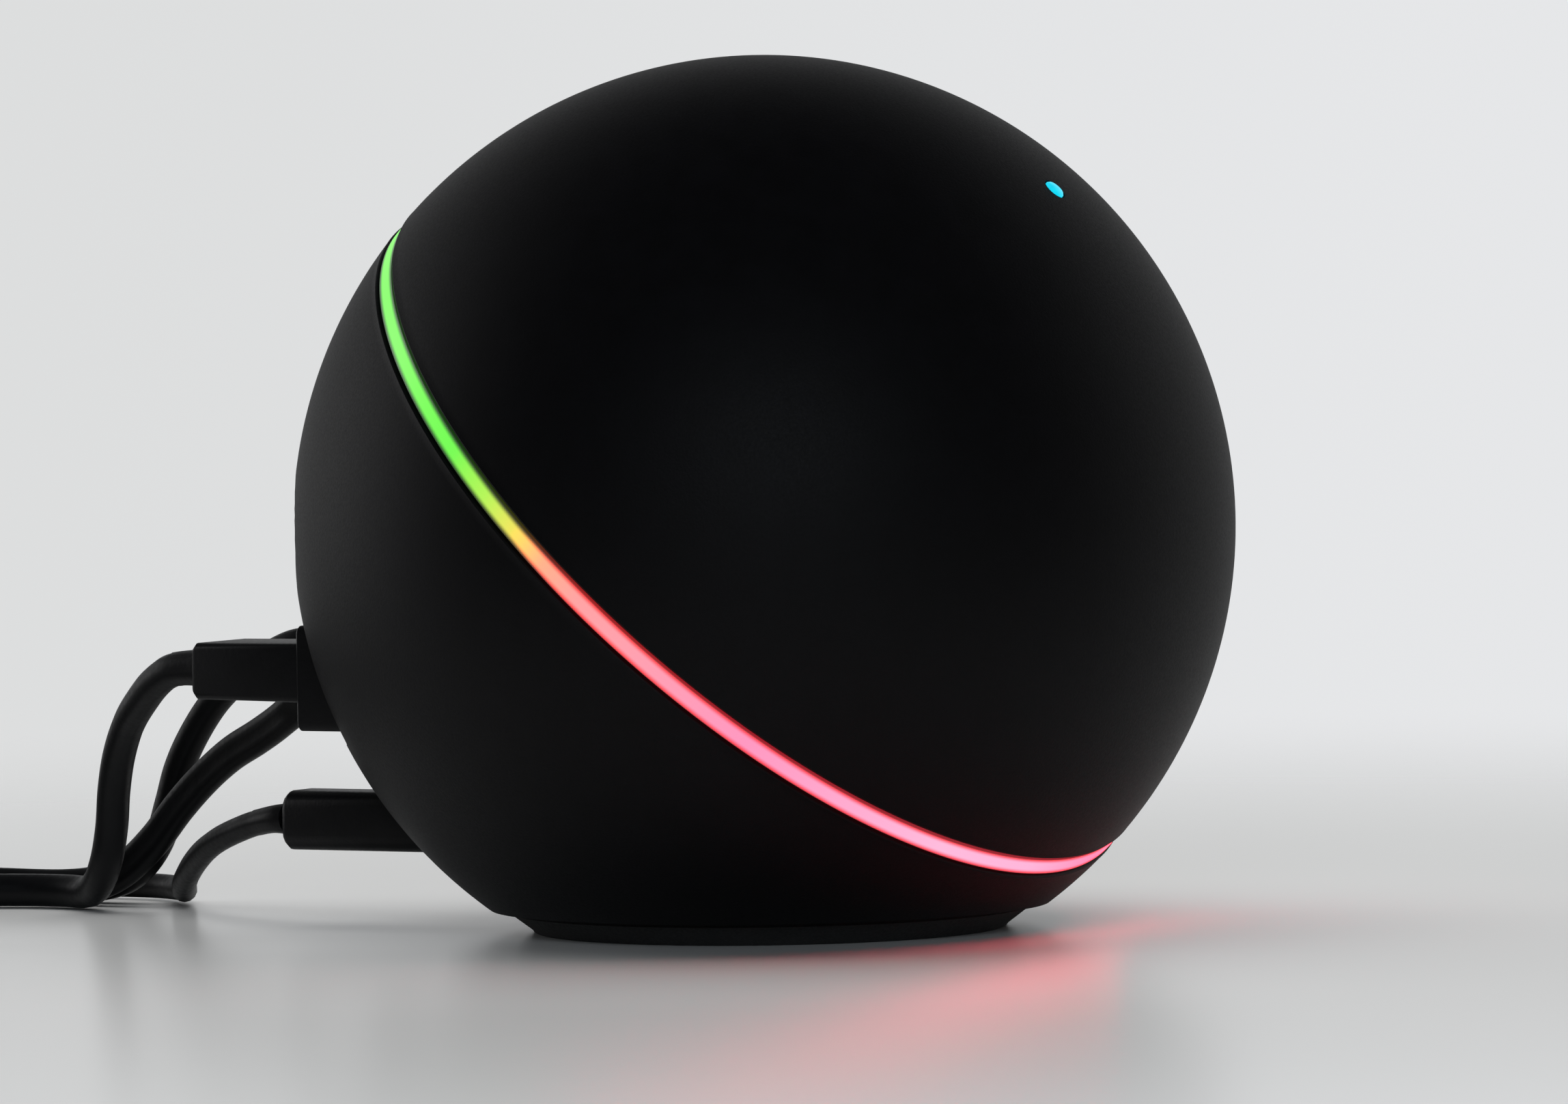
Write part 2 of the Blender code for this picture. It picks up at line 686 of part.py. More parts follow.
def make_near_plugs(paint):
    """The four plugs in the recess: nose, body and, on the network plug, a slimmer boot."""
    x, z = PORTS["network_socket"][0], UPPER_ROW_Z + CENTRE_Z
    nose = PANEL_Y - 0.0085
    boxes = [
        centred_box(x, z, 0.0114, 0.0078, nose, PANEL_Y + 0.0030, 0.0004),
        centred_box(x, z, 0.0150, 0.0130, PANEL_Y + 0.0012, 0.0502, 0.0004),
        centred_box(x, z + 0.0007, 0.0128, 0.0071, 0.0492, 0.0662, 0.0004),
    ]
    join_blocks("network_plug", boxes, paint["cord_black"])
    x, z = PORTS["mains_inlet"][0], UPPER_ROW_Z + CENTRE_Z
    boxes = [
        centred_box(x, z, 0.0134, 0.0072, nose, PANEL_Y + 0.0030, 0.0010),
        centred_box(x, z, 0.0160, 0.0100, PANEL_Y + 0.0012, 0.0480, 0.0015),
        centred_box(x, z, 0.0070, 0.0060, 0.0470, 0.0542, 0.0010),
    ]
    join_blocks("mains_plug", boxes, paint["cord_black"])
    x, z = PORTS["video_socket"][0], UPPER_ROW_Z + CENTRE_Z
    boxes = [
        centred_box(x, z, 0.0062, 0.0026, nose, PANEL_Y + 0.0030, 0.0002),
        centred_box(x, z, 0.0108, 0.0080, PANEL_Y + 0.0012, 0.0520, 0.0012),
        centred_box(x, z, 0.0060, 0.0056, 0.0510, 0.0577, 0.0010),
    ]
    join_blocks("video_plug", boxes, paint["cord_black"])
    x, z = PORTS["optical_socket"][0], LOWER_ROW_Z + CENTRE_Z
    boxes = [
        centred_box(x, z, 0.0058, 0.0058, nose, PANEL_Y + 0.0030, 0.0008),
        centred_box(x, z - 0.0006, 0.0084, 0.0074, PANEL_Y + 0.0012, 0.0607, 0.0014),
    ]
    join_blocks("optical_plug", boxes, paint["cord_black"])


def make_far_plugs(paint):
    """The plugs at the far ends, lying beside their coils."""
    x, z = -0.0564, 0.0046
    boxes = [
        centred_box(x, z, 0.0116, 0.0080, 0.0910, 0.1005, 0.0004),
        centred_box(x, z, 0.0128, 0.0086, 0.0995, 0.1122, 0.0010),
    ]
    join_blocks("network_far_plug", boxes, paint["cord_black"])
    x, z = -0.0072, 0.0067
    boxes = [
        centred_box(x, z, 0.0180, 0.0128, 0.2293, 0.2520, 0.0020),
        centred_box(x - 0.0060, z, 0.0016, 0.0064, 0.2510, 0.2670, 0.0),
        centred_box(x + 0.0060, z, 0.0016, 0.0064, 0.2510, 0.2670, 0.0),
    ]
    join_blocks("mains_far_plug", boxes, paint["cord_black"])
    x, z = 0.0122, 0.0058
    boxes = [
        centred_box(x, z, 0.0190, 0.0110, 0.2583, 0.2770, 0.0015),
        centred_box(x, z, 0.0140, 0.0045, 0.2760, 0.2870, 0.0),
    ]
    join_blocks("video_far_plug", boxes, paint["cord_black"])
    x, z = 0.0202, 0.0044
    boxes = [
        centred_box(x, z, 0.0084, 0.0082, 0.1873, 0.2040, 0.0014),
        centred_box(x, z, 0.0058, 0.0058, 0.2030, 0.2110, 0.0008),
    ]
    join_blocks("optical_far_plug", boxes, paint["cord_black"])


def make_leads(paint):
    """Plugs, cords and coils."""
    for name, lead in LEADS.items():
        tube(f"{name}_cord", lead["points"], lead["radius"], paint["cord_black"])
        coil_ring(f"{name}_coil", lead, paint["cord_black"])
        tube(f"{name}_cord_tail", lead["tail"], lead["radius"], paint["cord_black"])
    make_near_plugs(paint)
    make_far_plugs(paint)


def main():
    """Build the whole object."""
    for old in list(bpy.data.objects):
        bpy.data.objects.remove(old)
    paint = all_materials()
    centre = bpy.data.objects.new("ball_centre", None)
    centre.location = (0.0, 0.0, CENTRE_Z)
    axis = bpy.data.objects.new("dome_axis", None)
    axis.parent = centre
    axis.rotation_euler = (LEAN, 0.0, 0.0)
    for empty in (centre, axis):
        bpy.context.collection.objects.link(empty)
    bpy.context.view_layer.update()
    make_casing(paint, centre, axis)
    make_dome_drive(paint, axis)
    make_electronics(paint, centre, axis)
    make_ports(paint, centre)
    make_leads(paint)


main()
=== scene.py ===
"""Looks of the ball-shaped network player: fine shells, a lit seam, leads and plugs round the frame."""

import json
import math

import bmesh
import bpy
from mathutils import Matrix, Vector


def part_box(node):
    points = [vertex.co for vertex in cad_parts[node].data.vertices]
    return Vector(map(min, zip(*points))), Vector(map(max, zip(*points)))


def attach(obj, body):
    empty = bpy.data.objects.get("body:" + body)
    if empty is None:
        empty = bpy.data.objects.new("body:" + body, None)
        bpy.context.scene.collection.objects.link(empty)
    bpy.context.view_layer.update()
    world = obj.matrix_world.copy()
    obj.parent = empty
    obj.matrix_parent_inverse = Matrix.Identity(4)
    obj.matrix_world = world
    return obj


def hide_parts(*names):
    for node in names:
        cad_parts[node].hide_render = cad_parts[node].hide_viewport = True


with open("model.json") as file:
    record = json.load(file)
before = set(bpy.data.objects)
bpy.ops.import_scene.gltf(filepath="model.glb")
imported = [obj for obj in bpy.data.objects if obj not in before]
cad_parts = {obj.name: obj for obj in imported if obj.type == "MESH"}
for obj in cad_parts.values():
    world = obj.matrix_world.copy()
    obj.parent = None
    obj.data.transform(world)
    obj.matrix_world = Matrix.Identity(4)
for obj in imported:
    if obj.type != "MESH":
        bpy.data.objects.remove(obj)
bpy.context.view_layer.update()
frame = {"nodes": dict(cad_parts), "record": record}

# ---- places and sizes, from the frame ------------------------------------------------------------
DOME_JOINT = next(j for j in frame["record"]["behaviour"]["joints"] if j["name"] == "dome_spin")
CENTRE = Vector(DOME_JOINT["pos_m"])
DOME_AXIS = Vector(DOME_JOINT["axis"]).normalized()
TO_WORLD = Matrix.Translation(CENTRE) @ Matrix.Rotation(math.atan2(-DOME_AXIS.y, DOME_AXIS.z), 4, "X")
BALL_R = (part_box("base_shell")[1].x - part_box("base_shell")[0].x) / 2.0
BASE_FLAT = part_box("base_shell")[0].z - CENTRE.z  # the shell's flat underside, from the centre
FOOT_LOW, FOOT_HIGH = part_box("rubber_foot")
PANEL_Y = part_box("port_panel")[1].y

SEAM_TOP = 0.00095
SEAM_BOTTOM = -0.00145
GAP = 0.0003
FINE = 256  # facets round a large turned piece


# ---- camera --------------------------------------------------------------------------------------
VIEW_AZIMUTH = math.radians(-61.0)
VIEW_ELEVATION = math.radians(2.0)
VIEW_DISTANCE = 22.0 * BALL_R
VIEW_ROLL = math.radians(-0.9)
SENSOR = 36.0
LENS = 237.9
SHIFT = (0.0126, -0.0163)


def make_camera():
    """The photographer's long lens, a little above the table."""
    data = bpy.data.cameras.new("camera")
    data.sensor_width = SENSOR
    data.lens = LENS
    data.shift_x, data.shift_y = SHIFT
    data.clip_start = 0.05
    data.clip_end = 50.0
    camera = bpy.data.objects.new("camera", data)
    bpy.context.collection.objects.link(camera)
    level = math.cos(VIEW_ELEVATION)
    back = Vector(
        (math.sin(VIEW_AZIMUTH) * level, -math.cos(VIEW_AZIMUTH) * level, math.sin(VIEW_ELEVATION))
    )
    camera.rotation_mode = "QUATERNION"
    turn = (-back).to_track_quat("-Z", "Y")
    camera.rotation_quaternion = turn @ Matrix.Rotation(VIEW_ROLL, 3, "Z").to_quaternion()
    camera.location = CENTRE + back * VIEW_DISTANCE
    bpy.context.scene.camera = camera


# ---- leads: the routes of the CAD model, and their coils -----------------------------------------
# coil: centre, radius of the outermost turn, turns side by side, radial and vertical pitch,
# +1 for left-hand turns, and how much of the last turn is left out.
LEADS = {
    "network": {
        "radius": 0.0021,
        "points": [
            (-0.0215, 0.0668, 0.0324),
            (-0.0213, 0.0690, 0.0325),
            (-0.0205, 0.0733, 0.0321),
            (-0.0188, 0.0768, 0.0306),
            (-0.0160, 0.0808, 0.0281),
            (-0.0125, 0.0851, 0.0249),
            (-0.0092, 0.0888, 0.0205),
            (-0.0066, 0.0913, 0.0159),
            (-0.0049, 0.0928, 0.0113),
            (-0.0037, 0.0944, 0.0071),
            (-0.0018, 0.0969, 0.0039),
            (0.0010, 0.1004, 0.0024),
            (0.0024, 0.1045, 0.0023),
            (0.0024, 0.1095, 0.0023),
            (0.0008, 0.1150, 0.0023),
            (-0.0006, 0.1200, 0.0023),
        ],
        "coil": ((-0.0290, 0.1360), 0.0274, 3, 0.0042, 0.0042, 1, 0.5),
        "tail": [(-0.0564, 0.1195, 0.0056), (-0.0564, 0.1112, 0.0047)],
    },
    "mains": {
        "radius": 0.0021,
        "points": [
            (-0.0032, 0.0551, 0.0316),
            (-0.0031, 0.0572, 0.0315),
            (-0.0024, 0.0616, 0.0302),
            (-0.0003, 0.0668, 0.0273),
            (0.0022, 0.0722, 0.0243),
            (0.0036, 0.0760, 0.0224),
            (0.0052, 0.0811, 0.0200),
            (0.0066, 0.0860, 0.0168),
            (0.0074, 0.0903, 0.0131),
            (0.0077, 0.0945, 0.0086),
            (0.0078, 0.0991, 0.0048),
            (0.0078, 0.1032, 0.0030),
            (0.0078, 0.1076, 0.0024),
            (0.0074, 0.1200, 0.0024),
            (0.0050, 0.1370, 0.0024),
            (0.0012, 0.1540, 0.0024),
            (-0.0042, 0.1700, 0.0024),
            (-0.0072, 0.1891, 0.0024),
        ],
        "coil": ((-0.0358, 0.2060), 0.0286, 6, 0.0026, 0.0046, 1, 0.0),
        "tail": [(-0.0072, 0.2230, 0.0066), (-0.0072, 0.2300, 0.0067)],
    },
    "video": {
        "radius": 0.0020,
        "points": [
            (0.0118, 0.0583, 0.0317),
            (0.0118, 0.0610, 0.0319),
            (0.0118, 0.0660, 0.0330),
            (0.0118, 0.0705, 0.0340),
            (0.0120, 0.0750, 0.0338),
            (0.0124, 0.0793, 0.0322),
            (0.0129, 0.0845, 0.0294),
            (0.0133, 0.0886, 0.0260),
            (0.0134, 0.0920, 0.0215),
            (0.0133, 0.0940, 0.0176),
            (0.0131, 0.0954, 0.0130),
            (0.0128, 0.0972, 0.0078),
            (0.0126, 0.1006, 0.0040),
            (0.0125, 0.1050, 0.0024),
            (0.0125, 0.1110, 0.0022),
            (0.0124, 0.1400, 0.0022),
            (0.0123, 0.1800, 0.0022),
            (0.0122, 0.2200, 0.0022),
        ],
        "coil": ((0.0382, 0.2360), 0.0260, 3, 0.0040, 0.0040, -1, 0.0),
        "tail": [(0.0122, 0.2519, 0.0059), (0.0122, 0.2590, 0.0058)],
    },
    "optical": {
        "radius": 0.0016,
        "points": [
            (-0.0132, 0.0614, 0.0133),
            (-0.0130, 0.0632, 0.0132),
            (-0.0114, 0.0672, 0.0125),
            (-0.0093, 0.0713, 0.0114),
            (-0.0070, 0.0753, 0.0101),
            (-0.0042, 0.0792, 0.0085),
            (-0.0010, 0.0828, 0.0067),
            (0.0028, 0.0864, 0.0047),
            (0.0070, 0.0896, 0.0031),
            (0.0122, 0.0928, 0.0020),
            (0.0170, 0.0965, 0.0018),
            (0.0198, 0.1020, 0.0018),
            (0.0206, 0.1150, 0.0018),
            (0.0204, 0.1350, 0.0018),
            (0.0202, 0.1551, 0.0018),
        ],
        "coil": ((0.0410, 0.1680), 0.0208, 4, 0.0032, 0.0032, -1, 0.0),
        "tail": [(0.0202, 0.1809, 0.0050), (0.0202, 0.1880, 0.0048)],
    },
}
LAYERS = 2
SHIFT_ARC = math.radians(75.0)  # the last part of each turn, where it moves to the next place
TURN_STEPS = 48


def smooth_route(points, per_stretch=12):
    """Points along a smooth curve (centripetal Catmull-Rom) through the given ones."""
    given = [Vector(p) for p in points]
    padded = [2 * given[0] - given[1], *given, 2 * given[-1] - given[-2]]
    fine = []
    for a, b, c, d in zip(padded, padded[1:], padded[2:], padded[3:]):
        knots = [0.0]
        for start, end in ((a, b), (b, c), (c, d)):
            knots.append(knots[-1] + math.sqrt((end - start).length))
        t0, t1, t2, t3 = knots
        for i in range(per_stretch):
            t = t1 + (t2 - t1) * i / per_stretch
            ab = a.lerp(b, (t - t0) / (t1 - t0))
            bc = b.lerp(c, (t - t1) / (t2 - t1))
            cd = c.lerp(d, (t - t2) / (t3 - t2))
            abc = ab.lerp(bc, (t - t0) / (t2 - t0))
            bcd = bc.lerp(cd, (t - t1) / (t3 - t1))
            fine.append(abc.lerp(bcd, (t - t1) / (t2 - t1)))
    fine.append(given[-1])
    return fine


def ease(share):
    """0 to 1 with a soft start and end."""
    share = min(max(share, 0.0), 1.0)
    return share * share * (3.0 - 2.0 * share)


def coil_turns(coil, low):
    """Points of a coil: inwards on the surface, up, and outwards again on top."""
    (x, y), outer_r, columns, pitch, rise, hand, left_out = coil
    places = [(outer_r - pitch * column, low) for column in range(columns)]
    places += [(r, low + rise) for r, _ in reversed(places)]
    places.append(places[-1])
    total = columns * LAYERS - left_out
    start = 0.0 if hand > 0 else math.pi
    points = []
    for step in range(1, int(total * TURN_STEPS) + 1):
        turn, part = divmod(step / TURN_STEPS, 1.0)
        here, there = places[int(turn)], places[min(int(turn) + 1, len(places) - 1)]
        moved = ease((part * math.tau - (math.tau - SHIFT_ARC)) / SHIFT_ARC)
        radius = here[0] + (there[0] - here[0]) * moved
        height = here[1] + (there[1] - here[1]) * moved
        angle = start + hand * part * math.tau
        points.append(Vector((x + radius * math.cos(angle), y + radius * math.sin(angle), height)))
    return points


def lead_path(lead):
    """The whole centreline: from the plug to the coil, round it and out to the far plug."""
    route = smooth_route(lead["points"])
    (x, y), outer_r, *_, hand, _ = lead["coil"]
    low = lead["points"][-1][2]
    entry = Vector((x + hand * outer_r, y, low))
    turns = coil_turns(lead["coil"], low)
    tail = [Vector(p) for p in lead["tail"]]
    return route + [entry] + turns + smooth_route([turns[-1], *tail])[1:]


# ---- mesh helpers --------------------------------------------------------------------------------
def add_mesh(name, bm, paint, smooth_angle=35.0):
    """A mesh object with one material, smooth except at its sharp edges."""
    bmesh.ops.remove_doubles(bm, verts=bm.verts, dist=2e-7)
    bmesh.ops.recalc_face_normals(bm, faces=bm.faces)
    mesh = bpy.data.meshes.new(name)
    bm.to_mesh(mesh)
    bm.free()
    mesh.materials.append(paint)
    mesh.shade_smooth()
    mesh.set_sharp_from_angle(angle=math.radians(smooth_angle))
    made = bpy.data.objects.new(name, mesh)
    bpy.context.collection.objects.link(made)
    return made


def lathe(profile, steps, placed=TO_WORLD, closed=True):
    """A bmesh of a (radius, height) outline turned about the dome's axis or another one."""
    bm = bmesh.new()
    points = [bm.verts.new((r, 0.0, h)) for r, h in profile]
    edges = [bm.edges.new(pair) for pair in zip(points, points[1:])]
    if closed:
        edges.append(bm.edges.new((points[-1], points[0])))
    bmesh.ops.spin(
        bm,
        geom=points + edges,
        cent=(0.0, 0.0, 0.0),
        axis=(0.0, 0.0, 1.0),
        angle=math.tau,
        steps=steps,
        use_merge=True,
    )
    bm.transform(placed)
    return bm


def arc(centre, radius, start, end, count):
    """Points on a circle in the (radius, height) plane, angles in degrees."""
    angles = [math.radians(start + (end - start) * i / count) for i in range(count + 1)]
    return [(centre[0] + radius * math.cos(a), centre[1] + radius * math.sin(a)) for a in angles]


def ball_arc(radius, low, high, count):
    """Points (radius, height) on a ball's surface, from one height to another."""
    start = math.degrees(math.asin(low / radius))
    end = math.degrees(math.asin(high / radius))
    return arc((0.0, 0.0), radius, start, end, count)


def cut(target, cutter):
    """Cut one solid out of another for good, and remove it."""
    change = target.modifiers.new("cut", "BOOLEAN")
    change.operation = "DIFFERENCE"
    change.object = cutter
    bpy.context.view_layer.update()
    graph = bpy.context.evaluated_depsgraph_get()
    result = bpy.data.meshes.new_from_object(target.evaluated_get(graph))
    target.modifiers.clear()
    target.data = result
    bpy.data.objects.remove(cutter)


def rounded_box(name, low, high, radius, paint, segments=4):
    """A box with rounded edges."""
    bm = bmesh.new()
    bmesh.ops.create_cube(bm, size=1.0)
    low, high = Vector(low), Vector(high)
    bmesh.ops.scale(bm, verts=bm.verts, vec=high - low)
    bmesh.ops.translate(bm, verts=bm.verts, vec=(low + high) / 2.0)
    bmesh.ops.bevel(bm, geom=bm.edges, offset=radius, segments=segments, profile=0.5, affect="EDGES")
    return add_mesh(name, bm, paint)


# ---- materials -----------------------------------------------------------------------------------
def new_material(name, colour, roughness, metallic=0.0):
    """A material, its shader, and its nodes and links."""
    made = bpy.data.materials.new(name)
    made.use_nodes = True
    nodes, links = made.node_tree.nodes, made.node_tree.links
    shader = nodes["Principled BSDF"]
    shader.inputs["Base Color"].default_value = (*colour, 1.0)
    shader.inputs["Roughness"].default_value = roughness
    shader.inputs["Metallic"].default_value = metallic
    return made, shader, nodes, links


def add_noise(nodes, links, scale, detail):
    """Noise in the object's own coordinates, in cycles per metre."""
    place = nodes.new("ShaderNodeTexCoord")
    noise = nodes.new("ShaderNodeTexNoise")
    noise.inputs["Scale"].default_value = scale
    noise.inputs["Detail"].default_value = detail
    links.new(place.outputs["Object"], noise.inputs["Vector"])
    return noise


def ramp_between(nodes, links, source, start, end, low=0.3, high=0.7):
    """Two colours or grey levels chosen by a 0 to 1 value."""
    ramp = nodes.new("ShaderNodeValToRGB")
    ramp.color_ramp.elements[0].position = low
    ramp.color_ramp.elements[1].position = high
    ramp.color_ramp.elements[0].color = (*start, 1.0)
    ramp.color_ramp.elements[1].color = (*end, 1.0)
    links.new(source, ramp.inputs["Fac"])
    return ramp.outputs["Color"]


def textured(name, dark, light, rough, grain, bump, metallic):
    """A surface with mottled colour and roughness and a fine bump."""
    made, shader, nodes, links = new_material(name, dark, rough[0], metallic)
    broad = add_noise(nodes, links, grain / 12.0, 4.0)
    fine = add_noise(nodes, links, grain, 3.0)
    links.new(ramp_between(nodes, links, broad.outputs["Fac"], dark, light), shader.inputs["Base Color"])
    grey = [(value,) * 3 for value in rough]
    links.new(ramp_between(nodes, links, fine.outputs["Fac"], *grey), shader.inputs["Roughness"])
    relief = nodes.new("ShaderNodeBump")
    relief.inputs["Strength"].default_value = bump
    relief.inputs["Distance"].default_value = 0.0002
    links.new(fine.outputs["Fac"], relief.inputs["Height"])
    links.new(relief.outputs["Normal"], shader.inputs["Normal"])
    return made, shader


# use: name, darker colour, lighter colour, roughness, grain, bump, metallic, specular level
MATERIALS = {
    "matt_black": (
        ("soft_black_paint", (0.0014, 0.0014, 0.0018), (0.0020, 0.0020, 0.0026), (0.52, 0.60)),
        (3200.0, 0.10, 0.0, 0.12),
    ),
    "rubber": (
        ("foot_rubber", (0.008, 0.008, 0.008), (0.014, 0.014, 0.014), (0.75, 0.9)),
        (2600.0, 0.3, 0.0, 0.5),
    ),
    "cord": (
        ("cord_vinyl", (0.0030, 0.0032, 0.0036), (0.0052, 0.0054, 0.0060), (0.40, 0.52)),
        (1500.0, 0.16, 0.0, 0.12),
    ),
    "plug": (
        ("plug_plastic", (0.0036, 0.0036, 0.0040), (0.0060, 0.0060, 0.0066), (0.36, 0.46)),
        (2200.0, 0.14, 0.0, 0.12),
    ),
    "inner_plastic": (
        ("inner_plastic", (0.05, 0.05, 0.055), (0.08, 0.08, 0.085), (0.5, 0.65)),
        (1800.0, 0.2, 0.0, 0.5),
    ),
    "circuit_board": (
        ("solder_mask", (0.012, 0.09, 0.04), (0.02, 0.13, 0.06), (0.35, 0.5)),
        (2400.0, 0.2, 0.0, 0.5),
    ),
    "steel": (
        ("bearing_steel", (0.5, 0.51, 0.53), (0.6, 0.61, 0.63), (0.2, 0.32)),
        (1600.0, 0.1, 1.0, 0.5),
    ),
    "aluminium": (
        ("aluminium_can", (0.62, 0.62, 0.64), (0.74, 0.74, 0.76), (0.28, 0.4)),
        (1500.0, 0.1, 1.0, 0.5),
    ),
    "socket": (
        ("socket_plastic", (0.010, 0.010, 0.011), (0.018, 0.018, 0.019), (0.35, 0.5)),
        (2000.0, 0.15, 0.0, 0.5),
    ),
    "copper": (
        ("copper_winding", (0.62, 0.34, 0.17), (0.78, 0.46, 0.25), (0.25, 0.4)),
        (2600.0, 0.2, 1.0, 0.5),
    ),
    "contact": (
        ("plated_metal", (0.55, 0.56, 0.58), (0.68, 0.69, 0.70), (0.18, 0.3)),
        (1800.0, 0.08, 1.0, 0.5),
    ),
    "tie": (
        ("hook_strap", (0.006, 0.006, 0.0065), (0.012, 0.012, 0.013), (0.7, 0.85)),
        (3000.0, 0.4, 0.0, 0.5),
    ),
    "clear": (
        ("clear_shell", (0.55, 0.57, 0.58), (0.66, 0.68, 0.69), (0.12, 0.2)),
        (900.0, 0.04, 0.0, 0.5),
    ),
    "light_guide": (
        ("milky_guide", (0.70, 0.70, 0.70), (0.78, 0.78, 0.78), (0.3, 0.4)),
        (1200.0, 0.05, 0.0, 0.5),
    ),
}


def make_materials():
    """Every material of the scene."""
    paint = {}
    for use, (look, (grain, bump, metallic, specular)) in MATERIALS.items():
        paint[use], shader = textured(*look, grain, bump, metallic)
        shader.inputs["Specular IOR Level"].default_value = specular
        if use == "clear":
            shader.inputs["Transmission Weight"].default_value = 0.6
    paint["light_ring"] = make_ring_light()
    paint["mute_light"] = make_mute_light()
    return paint


# Colours of the light round the seam, by angle about the dome's axis in degrees, from the
# device's left-hand side (0) over the rear (90) and its right-hand side (180) to the front (270).
RING_COLOURS = (
    (0.0, (0.019, 0.117, 0.008)),
    (150.0, (0.022, 0.120, 0.009)),
    (164.0, (0.019, 0.118, 0.008)),
    (172.0, (0.058, 0.112, 0.010)),
    (178.0, (0.115, 0.095, 0.012)),
    (183.0, (0.400, 0.052, 0.030)),
    (189.0, (1.0, 0.042, 0.042)),
    (215.0, (1.0, 0.035, 0.062)),
    (245.0, (1.0, 0.060, 0.088)),
    (262.0, (1.0, 0.055, 0.084)),
    (280.0, (1.0, 0.022, 0.048)),
    (310.0, (1.0, 0.022, 0.045)),
    (330.0, (0.250, 0.060, 0.025)),
    (345.0, (0.030, 0.120, 0.011)),
)
RING_STRENGTH = 8.0
RING_CORE = 0.00045  # half the width over which the light is at its full strength
RING_EDGE = 0.04  # the share of it that is left at the strip's edges


def math_node(nodes, links, operation, first, second=None):
    """A math node; its inputs are sockets or numbers."""
    node = nodes.new("ShaderNodeMath")
    node.operation = operation
    for index, value in enumerate((first, second)):
        if isinstance(value, (int, float)):
            node.inputs[index].default_value = value
        elif value is not None:
            links.new(value, node.inputs[index])
    return node.outputs[0]


def make_ring_light():
    """The lit diffuser: its colour changes round the seam, and it is dimmer towards its edges."""
    made, shader, nodes, links = new_material("ring_light", (0.05, 0.05, 0.05), 0.35)
    place = nodes.new("ShaderNodeTexCoord")
    turned = nodes.new("ShaderNodeMapping")
    turned.vector_type = "TEXTURE"
    turned.inputs["Location"].default_value = CENTRE
    turned.inputs["Rotation"].default_value = TO_WORLD.to_euler()
    split = nodes.new("ShaderNodeSeparateXYZ")
    links.new(place.outputs["Object"], turned.inputs["Vector"])
    links.new(turned.outputs["Vector"], split.inputs["Vector"])
    angle = math_node(nodes, links, "ARCTAN2", split.outputs["Y"], split.outputs["X"])
    share = math_node(nodes, links, "FRACT", math_node(nodes, links, "DIVIDE", angle, math.tau))
    ramp = nodes.new("ShaderNodeValToRGB")
    ramp.color_ramp.elements.remove(ramp.color_ramp.elements[1])
    ramp.color_ramp.elements[0].position = 0.0
    ramp.color_ramp.elements[0].color = (*RING_COLOURS[0][1], 1.0)
    for degrees, colour in RING_COLOURS[1:]:
        ramp.color_ramp.elements.new(degrees / 360.0).color = (*colour, 1.0)
    links.new(share, ramp.inputs["Fac"])
    links.new(ramp.outputs["Color"], shader.inputs["Emission Color"])
    off_middle = math_node(nodes, links, "SUBTRACT", split.outputs["Z"], (SEAM_TOP + SEAM_BOTTOM) / 2.0)
    falloff = nodes.new("ShaderNodeMapRange")
    falloff.interpolation_type = "SMOOTHSTEP"
    falloff.inputs["From Min"].default_value = RING_CORE
    falloff.inputs["From Max"].default_value = (SEAM_TOP - SEAM_BOTTOM) / 2.0
    falloff.inputs["To Min"].default_value = 1.0
    falloff.inputs["To Max"].default_value = RING_EDGE
    links.new(math_node(nodes, links, "ABSOLUTE", off_middle), falloff.inputs["Value"])
    strength = math_node(nodes, links, "MULTIPLY", falloff.outputs[0], RING_STRENGTH)
    links.new(strength, shader.inputs["Emission Strength"])
    return made


def make_mute_light():
    """The small cyan light at the dome's pole."""
    made, shader, nodes, links = new_material("mute_light", (0.02, 0.03, 0.03), 0.3)
    cloud = add_noise(nodes, links, 900.0, 2.0)
    glow = ramp_between(nodes, links, cloud.outputs["Fac"], (0.0, 0.62, 0.86), (0.0, 0.74, 0.95))
    links.new(glow, shader.inputs["Emission Color"])
    shader.inputs["Emission Strength"].default_value = 1.0
    return made


# ---- shells --------------------------------------------------------------------------------------
RIM_ROUND = 0.00035
SHELL_WALL, RECESS_WALL = 0.0026, 0.0008
RECESS_TOP, ROW_SPLIT, RECESS_BOTTOM = -0.0112, -0.0260, -0.0420
UPPER_HALF, LOWER_HALF = 0.0310, 0.0195


def make_dome(paint):
    """The turning dome: a thin ball cap with a rounded rim and the light's hole at its pole."""
    low = SEAM_TOP + GAP
    hole = 0.00142
    outer = ball_arc(BALL_R, low + RIM_ROUND, math.sqrt(BALL_R**2 - (hole + 0.0001) ** 2), 72)
    inner_r = BALL_R - 0.0020
    inner = ball_arc(inner_r, low, math.sqrt(inner_r**2 - hole**2), 24)
    rim = arc((BALL_R - RIM_ROUND, low + RIM_ROUND), RIM_ROUND, -90.0, -10.0, 4)
    dome = add_mesh("dome", lathe(rim + outer + inner[::-1], FINE), paint["matt_black"])
    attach(dome, "dome")
    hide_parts("dome_shell")


